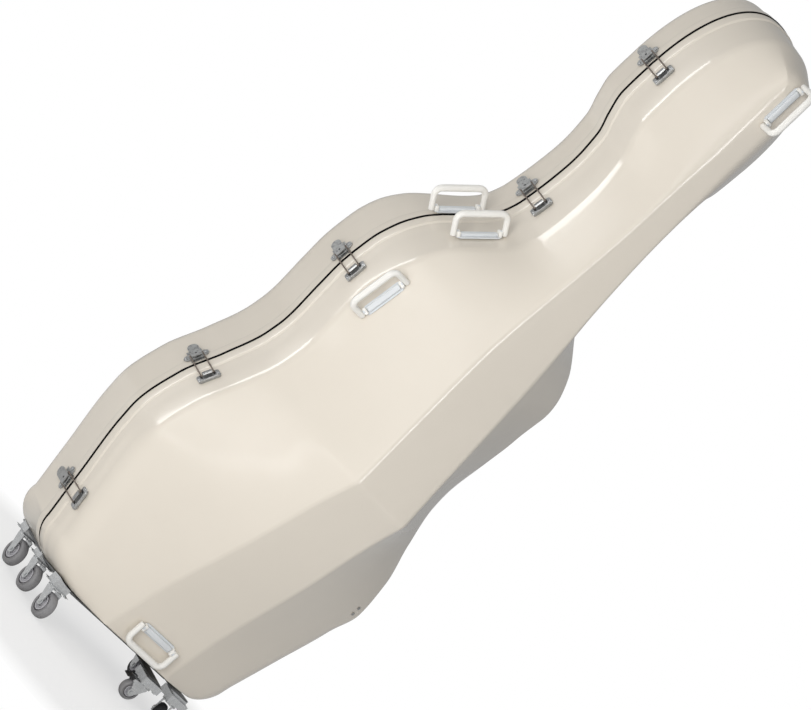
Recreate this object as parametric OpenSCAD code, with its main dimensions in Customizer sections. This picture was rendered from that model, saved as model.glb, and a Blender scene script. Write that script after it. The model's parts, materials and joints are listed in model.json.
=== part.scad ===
// Hard case for a double bass: two moulded shells that part at the side, on six castors.
// The case stands upright. The lid faces -Y, the back faces +Y, the latches are at -X.
// Heights in the Customizer are measured from the underside of the shells.

/* [Outline] */
// Length of the shells from the underside to the top of the head
case_l = 1955; // [1900:5:2020]
// Width just above the rounded bottom corners
base_w = 604; // [580:2:640]
// Width of the flat underside between the bottom corners
base_flat_w = 370; // [340:2:400]
// Height of the rounded bottom corners
corner_h = 85; // [70:1:100]
// Width at the lower bout
lower_bout_w = 743; // [700:1:790]
// Height of the lower bout
lower_bout_z = 400; // [380:1:430]
// Width at the waist
waist_w = 552; // [520:1:580]
// Height of the waist
waist_z = 750; // [720:1:780]
// Width at the upper bout
upper_bout_w = 582; // [560:1:620]
// Height of the upper bout
upper_bout_z = 925; // [900:1:950]
// Width at the neck
neck_w = 180; // [160:1:210]
// Height of the narrowest part of the neck
neck_z = 1422; // [1390:1:1450]
// Width of the head
head_w = 291; // [270:1:320]
// Height where the sides of the head begin to close over the top
head_z = 1700; // [1680:1:1730]

/* [Lid] */
// Depth of the lid's side wall along the body
side_d = 118; // [105:1:130]
// Depth of the side wall at the shoulders
shoulder_d = 143; // [130:1:155]
// Depth of the side wall round the head
head_side_d = 122; // [110:1:135]
// Depth of the ridge at the bottom of the lid
foot_ridge_d = 171; // [160:1:185]
// Greatest depth of the ridge, over the bridge
bridge_ridge_d = 360; // [340:1:380]
// Height of the kink in the ridge over the bridge
bridge_z = 650; // [630:1:670]
// Depth of the ridge over the neck
neck_ridge_d = 253; // [240:1:270]
// Depth of the ridge at the top of the head
head_ridge_d = 222; // [210:1:235]
// Width of the ridge's flat face at the bottom
foot_ridge_w = 212; // [190:1:240]
// Width of the flat face over the bridge
bridge_ridge_w = 170; // [150:1:190]
// Width of the flat face over the neck
neck_ridge_w = 77; // [60:1:90]
// Width of the flat face over the head
head_ridge_w = 90; // [76:1:104]
// Height where the ridge's flat face ends on the head
ridge_end_z = 1915; // [1890:1:1925]
// Draw-in of the lid's walls from the parting line to the crease
draw_in = 7; // [4:0.5:10]
// Radius of the soft crease round the foot of the lid
soft_crease_r = 50; // [35:1:52]
// Radius of the crisp crease above it
crease_r = 11; // [8:1:16]
// Width of the bevel along the ridge
ridge_bevel = 8; // [5:0.5:12]

/* [Back] */
// Depth of the back shell behind the body
back_d = 157; // [150:1:175]
// Depth of the back shell behind the neck
neck_back_d = 125; // [118:1:135]
// Depth of the back shell behind the head
head_back_d = 115; // [108:1:125]
// Radius round the edge of the rear face
rear_r = 40; // [30:1:45]
// Radius along the rear edge of the underside
foot_rear_r = 13; // [10:1:14]

/* [Shell] */
// Thickness of the moulded walls
wall = 5; // [4:0.5:7]
// How far the band along the parting line stands proud
lip = 3.5; // [2.5:0.5:5]
// Depth of that band on each shell
lip_d = 26; // [24:1:30]
// Gap between the two shells, filled by the seal
seam = 2; // [1.5:0.1:3]
// Thickness of the padded lining
lining_t = 7; // [5:0.5:10]
// Smallest clearance between pieces that are fitted loosely
fit_gap = 0.3; // [0.2:0.05:0.4]

/* [Latches] */
// Height of the lowest latch
latch_z = 164; // [150:1:180]
// Distance from one latch to the next
latch_pitch = 384.5; // [375:0.5:392]
// Length of the latch's plate along the case
latch_l = 58; // [52:1:64]
// Width of the latch's lever
lever_w = 25; // [22:0.5:26]
// Length of the lever from its pin to its nose
lever_l = 48; // [42:1:52]
// Diameter of the bail's wire
bail_wire_d = 3; // [2.4:0.1:3.4]

/* [Handles] */
// Length of a handle's grip over its legs
grip_l = 132; // [122:1:140]
// Distance from a grip's pin to the middle of its bar
grip_reach = 46; // [40:1:50]
// Thickness of a grip
grip_d = 13; // [11:0.5:15]
// Length of a handle's mounting strip
strip_l = 105; // [98:1:110]
// Width of a handle's mounting strip
strip_w = 22; // [18:1:24]

/* [Castors] */
// Height from the floor to the underside of the shells
castor_h = 80; // [78:1:90]
// Diameter of the three large wheels
big_wheel_d = 65; // [58:1:65]
// Width of the large wheels' tyres
big_wheel_w = 22; // [18:1:24]
// Trail of the large wheels behind their swivels
big_trail = 20; // [18:0.5:20]
// Diameter of the three small wheels
small_wheel_d = 48; // [42:1:50]
// Width of the small wheels' tyres
small_wheel_w = 20; // [16:1:22]
// Trail of the small wheels
small_trail = 16; // [14:0.5:18]
// Side of a castor's square plate
castor_plate_w = 54; // [50:1:54]

/* [Hinges] */
// Length of a hinge
hinge_l = 54; // [46:1:60]
// Outer diameter of the hinge's knuckles
knuckle_d = 9; // [8:0.5:10]
// Diameter of the hinge pins
hinge_pin_d = 5; // [4:0.5:5.5]

/* [Hidden] */
$fn = 48;

// Curves through a few stations, without overshoot between them
function mix(a, b, t) = a + (b - a) * t;
function clamp(v, lo, hi) = min(max(v, lo), hi);
function unit(v) = v / norm(v);
function rate(p, i) = (p[i + 1][1] - p[i][1]) / (p[i + 1][0] - p[i][0]);
function segment(p, z, i = 0) = (i >= len(p) - 2 || z < p[i + 1][0]) ? i : segment(p, z, i + 1);
function slope(p, i) =
    i == 0 ? rate(p, 0)
    : i == len(p) - 1 ? rate(p, i - 1)
    : let (a = rate(p, i - 1), b = rate(p, i), ha = p[i][0] - p[i - 1][0], hb = p[i + 1][0] - p[i][0])
      a * b <= 0 ? 0 : 3 * (ha + hb) / ((2 * hb + ha) / a + (hb + 2 * ha) / b);
function curve(p, z) =
    let (i = segment(p, z), h = p[i + 1][0] - p[i][0], t = clamp((z - p[i][0]) / h, 0, 1))
    mix(p[i][1], p[i + 1][1], t * t * (3 - 2 * t))
    + h * t * (1 - t) * (slope(p, i) * (1 - t) - slope(p, i + 1) * t);

// Stations between two places: each is [share of the way up, share of the change in size]
function between(z0, v0, z1, v1, shares) = [for (s = shares) [mix(z0, z1, s[0]), mix(v0, v1, s[1])]];
BOUT_SHARES = [[0.36, 0.4], [0.84, 0.915]];
COSINE_SHARES = [[0.29, 0.18], [0.57, 0.6], [0.86, 0.95]];
SHOULDER_SHARES = [[0.15, 0.025], [0.27, 0.105], [0.37, 0.24], [0.65, 0.89], [0.74, 0.955]];
HEAD_SHARES = [[0.33, 0.22], [0.5, 0.6], [0.69, 0.92]];
flank = concat(
    [[corner_h, base_w / 2]],
    between(corner_h, base_w / 2, lower_bout_z, lower_bout_w / 2, BOUT_SHARES),
    [[lower_bout_z, lower_bout_w / 2]],
    between(lower_bout_z, lower_bout_w / 2, waist_z, waist_w / 2, COSINE_SHARES),
    [[waist_z, waist_w / 2], [mix(waist_z, upper_bout_z, 0.57), mix(waist_w, upper_bout_w, 0.61) / 2],
     [upper_bout_z, upper_bout_w / 2]],
    between(upper_bout_z, upper_bout_w / 2, neck_z, neck_w / 2, SHOULDER_SHARES),
    [[neck_z, neck_w / 2]],
    between(neck_z, neck_w / 2, head_z, head_w / 2, HEAD_SHARES),
    [[head_z, head_w / 2]]);
shoulder_z = mix(upper_bout_z, neck_z, 0.27);
neck_foot_z = mix(upper_bout_z, neck_z, 0.65);
head_foot_z = mix(neck_z, head_z, 0.64);
side_depths = [[0, side_d], [upper_bout_z, side_d], [shoulder_z, shoulder_d], [neck_foot_z, shoulder_d],
               [head_foot_z, head_side_d], [case_l, head_side_d]];
low_ridge = [[0, foot_ridge_d], [bridge_z * 0.22, mix(foot_ridge_d, bridge_ridge_d, 0.14)],
             [bridge_z * 0.62, mix(foot_ridge_d, bridge_ridge_d, 0.58)],
             [bridge_z * 0.89, mix(foot_ridge_d, bridge_ridge_d, 0.85)], [bridge_z, bridge_ridge_d]];
high_ridge = [[bridge_z, bridge_ridge_d], [mix(bridge_z, neck_z, 0.2), mix(bridge_ridge_d, neck_ridge_d, 0.24)],
              [mix(bridge_z, neck_z, 0.58), mix(bridge_ridge_d, neck_ridge_d, 0.65)],
              [neck_z + 78, neck_ridge_d], [ridge_end_z, head_ridge_d]];
ridge_halves = [[0, foot_ridge_w / 2], [bridge_z, bridge_ridge_w / 2],
                [mix(bridge_z, neck_z, 0.45), mix(bridge_ridge_w, neck_ridge_w, 0.22) / 2],
                [neck_z + 100, neck_ridge_w / 2], [ridge_end_z, head_ridge_w / 2]];
back_depths = [[0, back_d], [shoulder_z - 20, back_d], [neck_foot_z, neck_back_d],
               [head_foot_z, mix(neck_back_d, head_back_d, 0.9)], [case_l, head_back_d]];
function half_width(z) =
    z < corner_h ? base_flat_w / 2 + (base_w - base_flat_w) / 2 * sqrt(1 - pow(1 - max(z, 0) / corner_h, 2))
    : curve(flank, z);
function side_depth(z) = curve(side_depths, z);
function ridge_depth(z) = z < bridge_z ? curve(low_ridge, z) : curve(high_ridge, z);
function ridge_half(z) = curve(ridge_halves, z);
function back_depth(z) = curve(back_depths, z);
function flank_slope(z) = (half_width(z + 1) - half_width(z - 1)) / 2;

// The case's own frame has x = 0 on its centre line and y = 0 at the parting line.
// The part's origin is under the middle of its bounding box, so placed() moves each piece there.
hinge_gap = 14;
hinge_low_z = lower_bout_z + 30;
hinge_high_z = upper_bout_z + 75;
hinge_low_x = half_width(hinge_low_z) + hinge_gap;
hinge_high_x = half_width(hinge_high_z) + hinge_gap;
hinge_lean = atan((hinge_low_x - hinge_high_x) / (hinge_high_z - hinge_low_z));
hinge_heights = [hinge_low_z, hinge_low_z + 75, hinge_high_z - 8];
function hinge_x(z) = mix(hinge_low_x, hinge_high_x, (z - hinge_low_z) / (hinge_high_z - hinge_low_z));

// The outline at the parting line: one side's points from the underside to the apex
CORNER_STEPS = 7;
HEAD_STEPS = 9;
HEAD_POWER = 2.3;
flank_step = 34;
function side_points(coarse) =
    let (corner_n = CORNER_STEPS / coarse, head_n = HEAD_STEPS / coarse,
         flank_n = round((head_z - corner_h) / flank_step / coarse))
    concat(
        [for (k = [0 : ceil(corner_n) - 1]) let (a = 90 * k / ceil(corner_n))
            [base_flat_w / 2 + (base_w - base_flat_w) / 2 * sin(a), corner_h * (1 - cos(a))]],
        [for (k = [0 : flank_n - 1]) let (z = mix(corner_h, head_z, k / flank_n)) [half_width(z), z]],
        [for (k = [0 : ceil(head_n) - 1]) let (a = 90 * k / ceil(head_n))
            [head_w / 2 * pow(cos(a), 2 / HEAD_POWER),
             head_z + (case_l - head_z) * pow(sin(a), 2 / HEAD_POWER)]]);
function outline(coarse = 1) =
    let (s = side_points(coarse), n = len(s))
    concat([for (p = s) [-p[0], p[1]]], [[0, case_l]], [for (k = [n - 1 : -1 : 0]) s[k]]);
// Outward normals of that loop
function normals(p) =
    let (n = len(p))
    [for (i = [0 : n - 1]) let (d = p[(i + 1) % n] - p[(i + n - 1) % n]) unit([-d[1], d[0]])];
// The band, the draw-in and the cove fade out towards the flat underside
function fade(z) = clamp(z / corner_h, 0, 1);
function out(p, n, d) = [p[0] + n[0] * d, p[1] + n[1] * d];
function at(p, y) = [p[0], y, p[1]];
function bend(a, c, b, t) = mix(mix(a, c, t), mix(c, b, t), t);

// Rows of the lid's skin, moved inward by t, from the rim to the ridge
function ridge_point(p, t) =
    let (zr = p[1] < head_z ? mix(t, head_z, p[1] / head_z) : mix(head_z, ridge_end_z - t, (p[1] - head_z) / (case_l - head_z)),
         half = ridge_half(zr) - t * 0.35)
    [sign(p[0]) * min(1, abs(p[0]) / 60) * half, t - ridge_depth(zr), zr];
function crease_radius(z) =
    curve([[0, soft_crease_r], [lower_bout_z - 70, soft_crease_r], [lower_bout_z + 10, crease_r],
           [case_l, crease_r]], z);
function lid_column(p, n, t) =
    let (f = fade(p[1]), r = crease_radius(p[1]), s = side_depth(p[1]) - t * 0.6,
         corner = at(out(p, n, -draw_in * f - t), -s), ridge = ridge_point(p, t),
         face = unit(ridge - corner), reach = norm(ridge - corner),
         wall_end = at(out(p, n, -draw_in * f * 0.8 - t), r - s), face_start = corner + face * min(r, reach * 0.4),
         middle = [0, t - ridge_depth(clamp(ridge[2], 60, ridge_end_z - 55)), clamp(ridge[2], 60, ridge_end_z - 55)])
    concat(
        t > 0 ? [at(out(p, n, -t), -seam / 2)]
        : [at(out(p, n, lip * f), -seam / 2), at(out(p, n, lip * f), -lip_d),
           at(out(p, n, 0), -lip_d - lip), at(out(p, n, -draw_in * f * 0.35), -60)],
        [wall_end],
        [for (k = t > 0 ? [0.5] : [0.25, 0.5, 0.75]) bend(wall_end, corner, face_start, k)],
        [face_start],
        t > 0 ? [] : [ridge - face * ridge_bevel],
        [ridge + unit(middle - ridge) * min(ridge_bevel, norm(middle - ridge) * 0.5)]);
// Rows of the back shell's skin, from the rim to the flat rear face
function back_column(p, n, t) =
    let (f = fade(p[1]), d = back_depth(p[1]) - t, r = mix(foot_rear_r, rear_r, f),
         wall_end = at(out(p, n, -draw_in * 0.4 * f - t), d - r), corner = at(out(p, n, -draw_in * 0.5 * f - t), d),
         face_start = at(out(p, n, -draw_in * 0.5 * f - t - r), d))
    concat(
        t > 0 ? [at(out(p, n, -t), seam / 2)]
        : [at(out(p, n, lip * f), seam / 2), at(out(p, n, lip * f), lip_d), at(out(p, n, 0), lip_d + lip)],
        [wall_end],
        [for (k = t > 0 ? [0.5] : [0.2, 0.4, 0.6, 0.8]) bend(wall_end, corner, face_start, k)],
        [face_start]);
// Stations mirror about x = 0, so a row closes with strips from side to side
function columns(kind, t, coarse) =
    let (p = outline(coarse), n = normals(p))
    [for (i = [0 : len(p) - 1]) kind == "lid" ? lid_column(p[i], n[i], t) : back_column(p[i], n[i], t)];
function flip(f) = [for (k = [len(f) - 1 : -1 : 0]) f[k]];
function skin_faces(n, rows, base, turn) =
    let (quads = [for (r = [0 : rows - 2], i = [0 : n - 1]) let (j = (i + 1) % n, a = base + r * n, b = a + n)
                      each [[a + i, a + j, b + j], [a + i, b + j, b + i]]],
         last = base + (rows - 1) * n, half = (n - 1) / 2,
         cap = [for (k = [0 : half - 1]) let (q = n - 1 - k)
                    each k == half - 1 ? [[last + k, last + half, last + q]]
                    : [[last + k, last + k + 1, last + q - 1], [last + k, last + q - 1, last + q]]])
    turn ? [for (f = concat(quads, cap)) flip(f)] : concat(quads, cap);
knuckle_gap = 0.2;
lid_points = [for (c = columns("lid", 0, 1)) each c];
reach_front = max([for (q = lid_points) -q[1]]);
reach_left = max([for (q = lid_points) -q[0]]);
reach_right = hinge_x(hinge_heights[0]) + sin(hinge_lean) * (hinge_l / 2 - knuckle_gap)
    + cos(hinge_lean) * knuckle_d / 2;
origin = [(reach_left - reach_right) / 2, (reach_front - back_d) / 2, castor_h];
module placed() translate(origin) children();

// A closed tray between an outer and an inner skin, joined by its rim
module tray(kind, t0, t1, coarse) {
    outer = columns(kind, t0, coarse);
    inner = columns(kind, t1, coarse);
    n = len(outer);
    rows_out = len(outer[0]);
    rows_in = len(inner[0]);
    points = concat([for (r = [0 : rows_out - 1], i = [0 : n - 1]) outer[i][r]],
                    [for (r = [0 : rows_in - 1], i = [0 : n - 1]) inner[i][r]]);
    base_in = rows_out * n;
    rim = [for (i = [0 : n - 1]) let (j = (i + 1) % n)
               each [[i, base_in + i, base_in + j], [i, base_in + j, j]]];
    turn = kind != "lid";
    faces = concat(skin_faces(n, rows_out, 0, turn), skin_faces(n, rows_in, base_in, !turn),
                   turn ? [for (f = rim) flip(f)] : rim);
    polyhedron(points, faces, convexity = 10);
}

// Frames for what is fitted to the skins: local X runs along the piece, Z points outward
function cross3(a, b) = [a[1] * b[2] - a[2] * b[1], a[2] * b[0] - a[0] * b[2], a[0] * b[1] - a[1] * b[0]];
module in_frame(f) {
    l = f[2];
    n = f[1];
    w = cross3(n, l);
    translate(f[0]) multmatrix([[l[0], w[0], n[0], 0], [l[1], w[1], n[1], 0], [l[2], w[2], n[2], 0], [0, 0, 0, 1]])
        children();
}
skin_table = [for (p = side_points(1)) [p[1], p[0]]];
function skin_x(z) = lookup(z, skin_table);
// Seat on a side wall at height z and depth y, lifted clear of the skin over a length
function seat_lift(z, n, l, length) =
    max([for (k = [-6 : 6]) let (dz = k / 12 * length * l[2])
            -(skin_x(z + dz) - skin_x(z)) * -abs(n[0]) + dz * n[2]]);
function side_seat(z, y, off, length) =
    let (g = flank_slope(z), n = unit([-1, 0, -g]), l = unit([-g, 0, 1]))
    [[-skin_x(z), y, z] + n * (off + fit_gap + seat_lift(z, n, l, length)), n, l];
// Seat on the lid's sloped left face, a share of the way from the crease to the ridge
function face_point(z, share) =
    mix([draw_in - half_width(z), -side_depth(z), z], [-ridge_half(z), -ridge_depth(z), z], share);
function face_seat(z, share, lift) =
    let (l = unit(face_point(z + 30, share) - face_point(z - 30, share)),
         a = unit(face_point(z, 0) - face_point(z, 1)), n = unit(cross3(l, a)))
    [face_point(z, share) + n * lift, n, l];
function ridge_seat(z, lift, upright) =
    let (l = unit([0, ridge_depth(z - 20) - ridge_depth(z + 20), 40]), n = [0, -l[2], l[1]])
    [[0, -ridge_depth(z), z] + n * lift, n, upright ? l : [1, 0, 0]];
function latch_height(k) = latch_z + (k - 1) * latch_pitch;
function latch_seat(k) = side_seat(latch_height(k), 0, lip, latch_l);

// Shells, seal and linings
IVORY = "#E8E0D4";
WHITE = "#E9E8E4";
STEEL = "#8F9296";
BRONZE = "#5E5042";
PLUSH = "#3B2A2C";
BLACK = "#1B1A1A";
GREY = "#8A8694";
module back_shell() color(IVORY) placed() tray("back", 0, wall, 1);
module lid_shell() color(IVORY) placed() tray("lid", 0, wall, 1);
module back_lining() color(PLUSH) placed() tray("back", wall + fit_gap, wall + lining_t, 1);
module lid_lining() color(PLUSH) placed() tray("lid", wall + fit_gap, wall + lining_t, 1);
module rim_seal() color(BLACK) placed() translate([0, seam / 2, 0]) rotate([90, 0, 0])
    linear_extrude(seam - fit_gap) difference() {
        polygon([for (p = outline(1)) [p[0] + sign(p[0]) * 1.5 * fade(p[1]), p[1]]]);
        polygon(let (p = outline(1), n = normals(p)) [for (i = [0 : len(p) - 1]) out(p[i], n[i], -wall)]);
    }

// The base plate follows the rounded corners and carries the castors
base_t = 4;
base_half = 254;
base_rear = 143;
base_side_front = 110;
lid_clearance = 1.5;
corner_gap = 0.8;
// The lid's right corner swings over this side of the plate, which stays low for it
swing_rise = 3.5;
function corner_rise(x) =
    corner_h * (1 - sqrt(1 - pow((x - base_flat_w / 2) / ((base_w - base_flat_w) / 2), 2)));
base_corner = [for (k = [0 : 5]) mix(base_flat_w / 2, base_half, k / 5)];
module base_profile(gap, depth, right_rise = corner_h) rotate([90, 0, 0]) linear_extrude(depth) polygon(concat(
    [[-base_half, -base_t], [base_half, -base_t]],
    [for (k = [5 : -1 : 1]) [base_corner[k], min(right_rise, corner_rise(base_corner[k]) - gap - corner_gap)]],
    [[base_corner[0], -gap], [-base_corner[0], -gap]],
    [for (k = [1 : 5]) [-base_corner[k], corner_rise(base_corner[k]) - gap - corner_gap]]));
module base_plate() color(STEEL) placed() intersection() {
    union() {
        translate([0, base_rear, 0]) base_profile(0.2, base_rear);
        base_profile(lid_clearance, foot_ridge_d, swing_rise);
    }
    translate([0, 0, -base_t - 1]) linear_extrude(2 * corner_h) polygon([
        [-base_half, base_rear], [-base_half, -base_side_front], [-foot_ridge_w / 2, -foot_ridge_d + 2],
        [foot_ridge_w / 2, -foot_ridge_d + 2], [base_half, -base_side_front], [base_half, base_rear]]);
}

// Castors: [x, y, wheel diameter, tyre width, trail, turn at rest]; a turn of 0 trails to -Y
CASTORS = [[-225, 114, big_wheel_d, big_wheel_w, big_trail, 0],
           [-222, 8, big_wheel_d, big_wheel_w, big_trail, 0],
           [-215, -98, big_wheel_d, big_wheel_w, big_trail, 0],
           [103, -138, small_wheel_d, small_wheel_w, small_trail, -90],
           [215, -96, small_wheel_d, small_wheel_w, small_trail, -40],
           [225, 114, small_wheel_d, small_wheel_w, small_trail, 0]];
plate_t = 2.5;
race_t = 4.5;
race_d = 36;
crown_t = 2.5;
king_d = 10;
axle_d = 8;
run_gap = 0.05;
plate_top = castor_h - base_t;
function crown_top(c) = c[2] + 6;
module at_castor(k, turned = true) {
    c = CASTORS[k - 1];
    translate([origin[0] + c[0], origin[1] + c[1], 0]) rotate([0, 0, turned ? c[5] : 0]) children();
}
module castor_plates() color(STEEL) for (k = [1 : 6]) at_castor(k, false) {
    top = crown_top(CASTORS[k - 1]) + fit_gap;
    w = castor_plate_w;
    translate([-w / 2, -w / 2, top + race_t]) cube([w, w, plate_top - top - race_t]);
    translate([0, 0, top]) cylinder(h = race_t, d = race_d);
    translate([0, 0, top - crown_t - 2 * fit_gap]) cylinder(h = race_t, d = king_d);
    translate([0, 0, top - crown_t - 2 * fit_gap - 1.5]) cylinder(h = 1.5, d = king_d + 6);
    for (x = [-1, 1], y = [-1, 1]) translate([x * (w / 2 - 7), y * (w / 2 - 7), top + race_t - 3])
        cylinder(h = 3, d = 9);
}
module castor_fork(k) color("#B9BCC0") at_castor(k) {
    c = CASTORS[k - 1];
    top = crown_top(c);
    leg_t = 2.5;
    inner = c[3] / 2 + 2;
    difference() {
        union() {
            translate([0, 0, top - crown_t]) cylinder(h = crown_t, d = race_d + 2);
            translate([-inner - leg_t, -race_d / 2, top - crown_t]) cube([2 * (inner + leg_t), race_d / 2, crown_t]);
        }
        translate([0, 0, top - crown_t - 1]) cylinder(h = crown_t + 2, d = king_d + 2 * run_gap);
    }
    for (s = [-1, 1]) translate([s * (inner + leg_t / 2) - leg_t / 2, 0, 0]) rotate([90, 0, 90])
        linear_extrude(leg_t) union() {
            polygon([[6, top], [10, top - 6], [-c[4] + 8, c[2] / 2 - 4], [-c[4] - 8, c[2] / 2 - 4],
                     [-race_d / 2, top]]);
            translate([-c[4], c[2] / 2]) circle(r = 9);
        }
    translate([-inner - leg_t - 2, -c[4], c[2] / 2]) rotate([0, 90, 0]) cylinder(h = 2 * (inner + leg_t + 2), d = axle_d);
    if (k == 4) {
        for (s = [-1, 1]) translate([s * (inner + leg_t / 2) - leg_t / 2, 0, 0]) rotate([90, 0, 90])
            linear_extrude(leg_t) union() {
                polygon([[-race_d / 2, top], [-c[4] - pedal_pin[0], pedal_pin[1] + 4],
                         [-c[4] - pedal_pin[0], pedal_pin[1] - 4], [-c[4] - 6, 28], [-c[4], 40]]);
                translate([-c[4] - pedal_pin[0], pedal_pin[1]]) circle(r = 4);
            }
        rod_x(-inner - leg_t, inner + leg_t, [-c[4] - pedal_pin[0], pedal_pin[1]], 1.5);
    }
}
// Behind the wheel's axle and above the floor
pedal_pin = [small_trail, small_wheel_d + 1];
module wheel_ring(c, profile) translate([0, -c[4], c[2] / 2]) rotate([0, 90, 0]) rotate_extrude($fn = 72)
    polygon(profile);
module castor_hub(k) color("#D9D9D6") at_castor(k) {
    c = CASTORS[k - 1];
    r = c[2] / 2 - 7;
    h = c[3] / 2;
    b = axle_d / 2 + run_gap;
    wheel_ring(c, [[b, -h - 1.5], [9, -h - 1.5], [9, -h + 3], [r - 4, -h + 3], [r - 4, -h + 1], [r, -h + 1],
                   [r, h - 1], [r - 4, h - 1], [r - 4, h - 3], [9, h - 3], [9, h + 1.5], [b, h + 1.5]]);
}
module castor_tyre(k) color(k < 5 ? GREY : BLACK) at_castor(k) {
    c = CASTORS[k - 1];
    r = c[2] / 2;
    h = c[3] / 2;
    wheel_ring(c, concat([[r - 6.95, -h + 1]], [for (a = [0 : 15 : 90]) [r - 4 + 4 * sin(a), -h + 4 - 4 * cos(a)]],
        c[2] == big_wheel_d ? [for (x = [-4, 0, 4]) each [[r, x - 1], [r - 1, x - 0.6], [r - 1, x + 0.6], [r, x + 1]]] : [],
        [for (a = [90 : -15 : 0]) [r - 4 + 4 * sin(a), h - 4 + 4 * cos(a)]], [[r - 6.95, h - 1]]));
}
module brake_pedal() color(BLACK) at_castor(4) {
    c = CASTORS[3];
    w = c[3] + 2;
    y = c[4] + pedal_pin[0];
    z = pedal_pin[1];
    difference() {
        translate([w / 2, 0, 0]) rotate([90, 0, -90]) linear_extrude(w) union() {
            translate([y, z]) circle(r = 4);
            polygon([[y, z + 4], [y + 12, z + 3], [y + 21, z - 1], [y + 21, z - 4], [y + 11, z], [y, z - 3]]);
        }
        rod_x(-w, w, [-y, z], 1.5 + run_gap);
    }
}

// Latches: Y is along the depth of the case and Z stands off the wall
latch_plate_t = 2;
lever_pin = [12, 5.5];
bail_pin = [24, 7.5];
pin_r = 1.5;
lever_wall = 2;
catch_edge = -40;
catch_end = -70;
catch_top = -2;
bail_x = lever_w / 2 + bail_wire_d / 2 + 0.5;
bail_foot = [-55, 2.5];
hook_top = bail_foot[1] - bail_wire_d / 2 - fit_gap;
module at_latch(k) placed() in_frame(latch_seat(k)) children();
module rod_x(x0, x1, p, r) translate([x0, p[0], p[1]]) rotate([0, 90, 0]) cylinder(h = x1 - x0, r = r);
module latch_plates() color(STEEL) for (k = [1 : 5]) at_latch(k) {
    linear_extrude(latch_plate_t) union() {
        translate([-17, 8]) square([34, 42]);
        for (x = [-1, 1]) translate([x * (latch_l / 2 - 10), 29]) circle(r = 10);
        translate([-latch_l / 2 + 10, 24]) square([latch_l - 20, 10]);
    }
    translate([-14, lip_d + lip + 1.5, -lip]) cube([28, 17, lip]);
    for (s = [-1, 1]) translate([s * 8 - 1.5, 0, 0]) {
        rod_x(0, 3, lever_pin, 3.2);
        translate([0, lever_pin[0] - 3.2, 1]) cube([3, 6.4, lever_pin[1] - 1]);
    }
    rod_x(-lever_w / 2, lever_w / 2, lever_pin, pin_r);
    for (x = [-1, 1]) translate([x * (latch_l / 2 - 6), 29, latch_plate_t]) cylinder(h = 1, r = 3);
}
module latch_lever(k) color(STEEL) at_latch(k) difference() {
    nose = lever_pin[0] + lever_l;
    union() {
        for (s = [-1, 1]) translate([s * (lever_w / 2 - lever_wall / 2) - lever_wall / 2, 0, 0]) {
            rod_x(0, lever_wall, lever_pin, 3.2);
            rotate([90, 0, 90]) linear_extrude(lever_wall)
                polygon([[lever_pin[0], 2.5], [38, 4], [38, 12], [lever_pin[0] + 0.5, 12], [lever_pin[0], 8]]);
        }
        translate([-lever_w / 2, lever_pin[0] + 0.5, 10]) cube([lever_w, nose - lever_w / 2 - lever_pin[0], 2]);
        translate([0, nose - lever_w / 2, 10]) cylinder(h = 2, r = lever_w / 2);
        translate([-5, nose - 9, 8]) cube([10, 4, 3]);
    }
    rod_x(-lever_w, lever_w, lever_pin, pin_r + run_gap);
    rod_x(-lever_w, lever_w, bail_pin, bail_wire_d / 2 + run_gap);
}
module latch_bail(k) color(BRONZE) at_latch(k) {
    r = bail_wire_d / 2;
    run = [bail_foot[0] - bail_pin[0], bail_foot[1] - bail_pin[1]];
    for (s = [-1, 1]) {
        rod_x(s > 0 ? lever_w / 2 - lever_wall - 0.2 : -bail_x, s > 0 ? bail_x : lever_wall + 0.2 - lever_w / 2, bail_pin, r);
        translate([s * bail_x, bail_pin[0], bail_pin[1]]) rotate([90 + atan(run[1] / run[0]), 0, 0])
            translate([0, 0, -r - 0.4]) cylinder(h = norm(run) + 2 * r + 0.8, r = r + 0.1);
    }
    rod_x(-bail_x, bail_x, bail_foot, r);
}
function lid_wall_drop(y) = -lip - draw_in * 0.35 * (-y - lip_d - lip) / (60 - lip_d - lip);
module latch_catches() color(STEEL) for (k = [1 : 5]) at_latch(k) {
    translate([-26, 0, 0]) rotate([90, 0, 90]) linear_extrude(52) polygon([
        [catch_edge, lid_wall_drop(catch_edge)], [catch_end, lid_wall_drop(catch_end)],
        [catch_end, 2], [catch_end + 2, 2], [catch_end + 2, catch_top], [catch_edge, catch_top]]);
    translate([-7, bail_foot[0] - 3, catch_top]) cube([14, 12, hook_top - catch_top]);
    for (x = [-1, 1]) translate([x * 19, -50, catch_top]) cylinder(h = 1, r = 3);
}

// Handles: X runs along the strip, the grip turns about pins in its two ears
pivot_h = 9;
handle_pin_r = 2;
strip_t = 3;
ear_t = 4;
// Heights of the five seats, the share of the sloped face at the side one, and the lift off the skin
shoulder_back_z = 1169;
shoulder_lid_z = 1178;
shoulder_lid_y = -94;
side_grip_z = 946;
side_face_share = 0.155;
side_lift = 2.6;
head_grip_z = 1850;
foot_grip_z = 80;
ridge_lift = 0.6;
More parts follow.
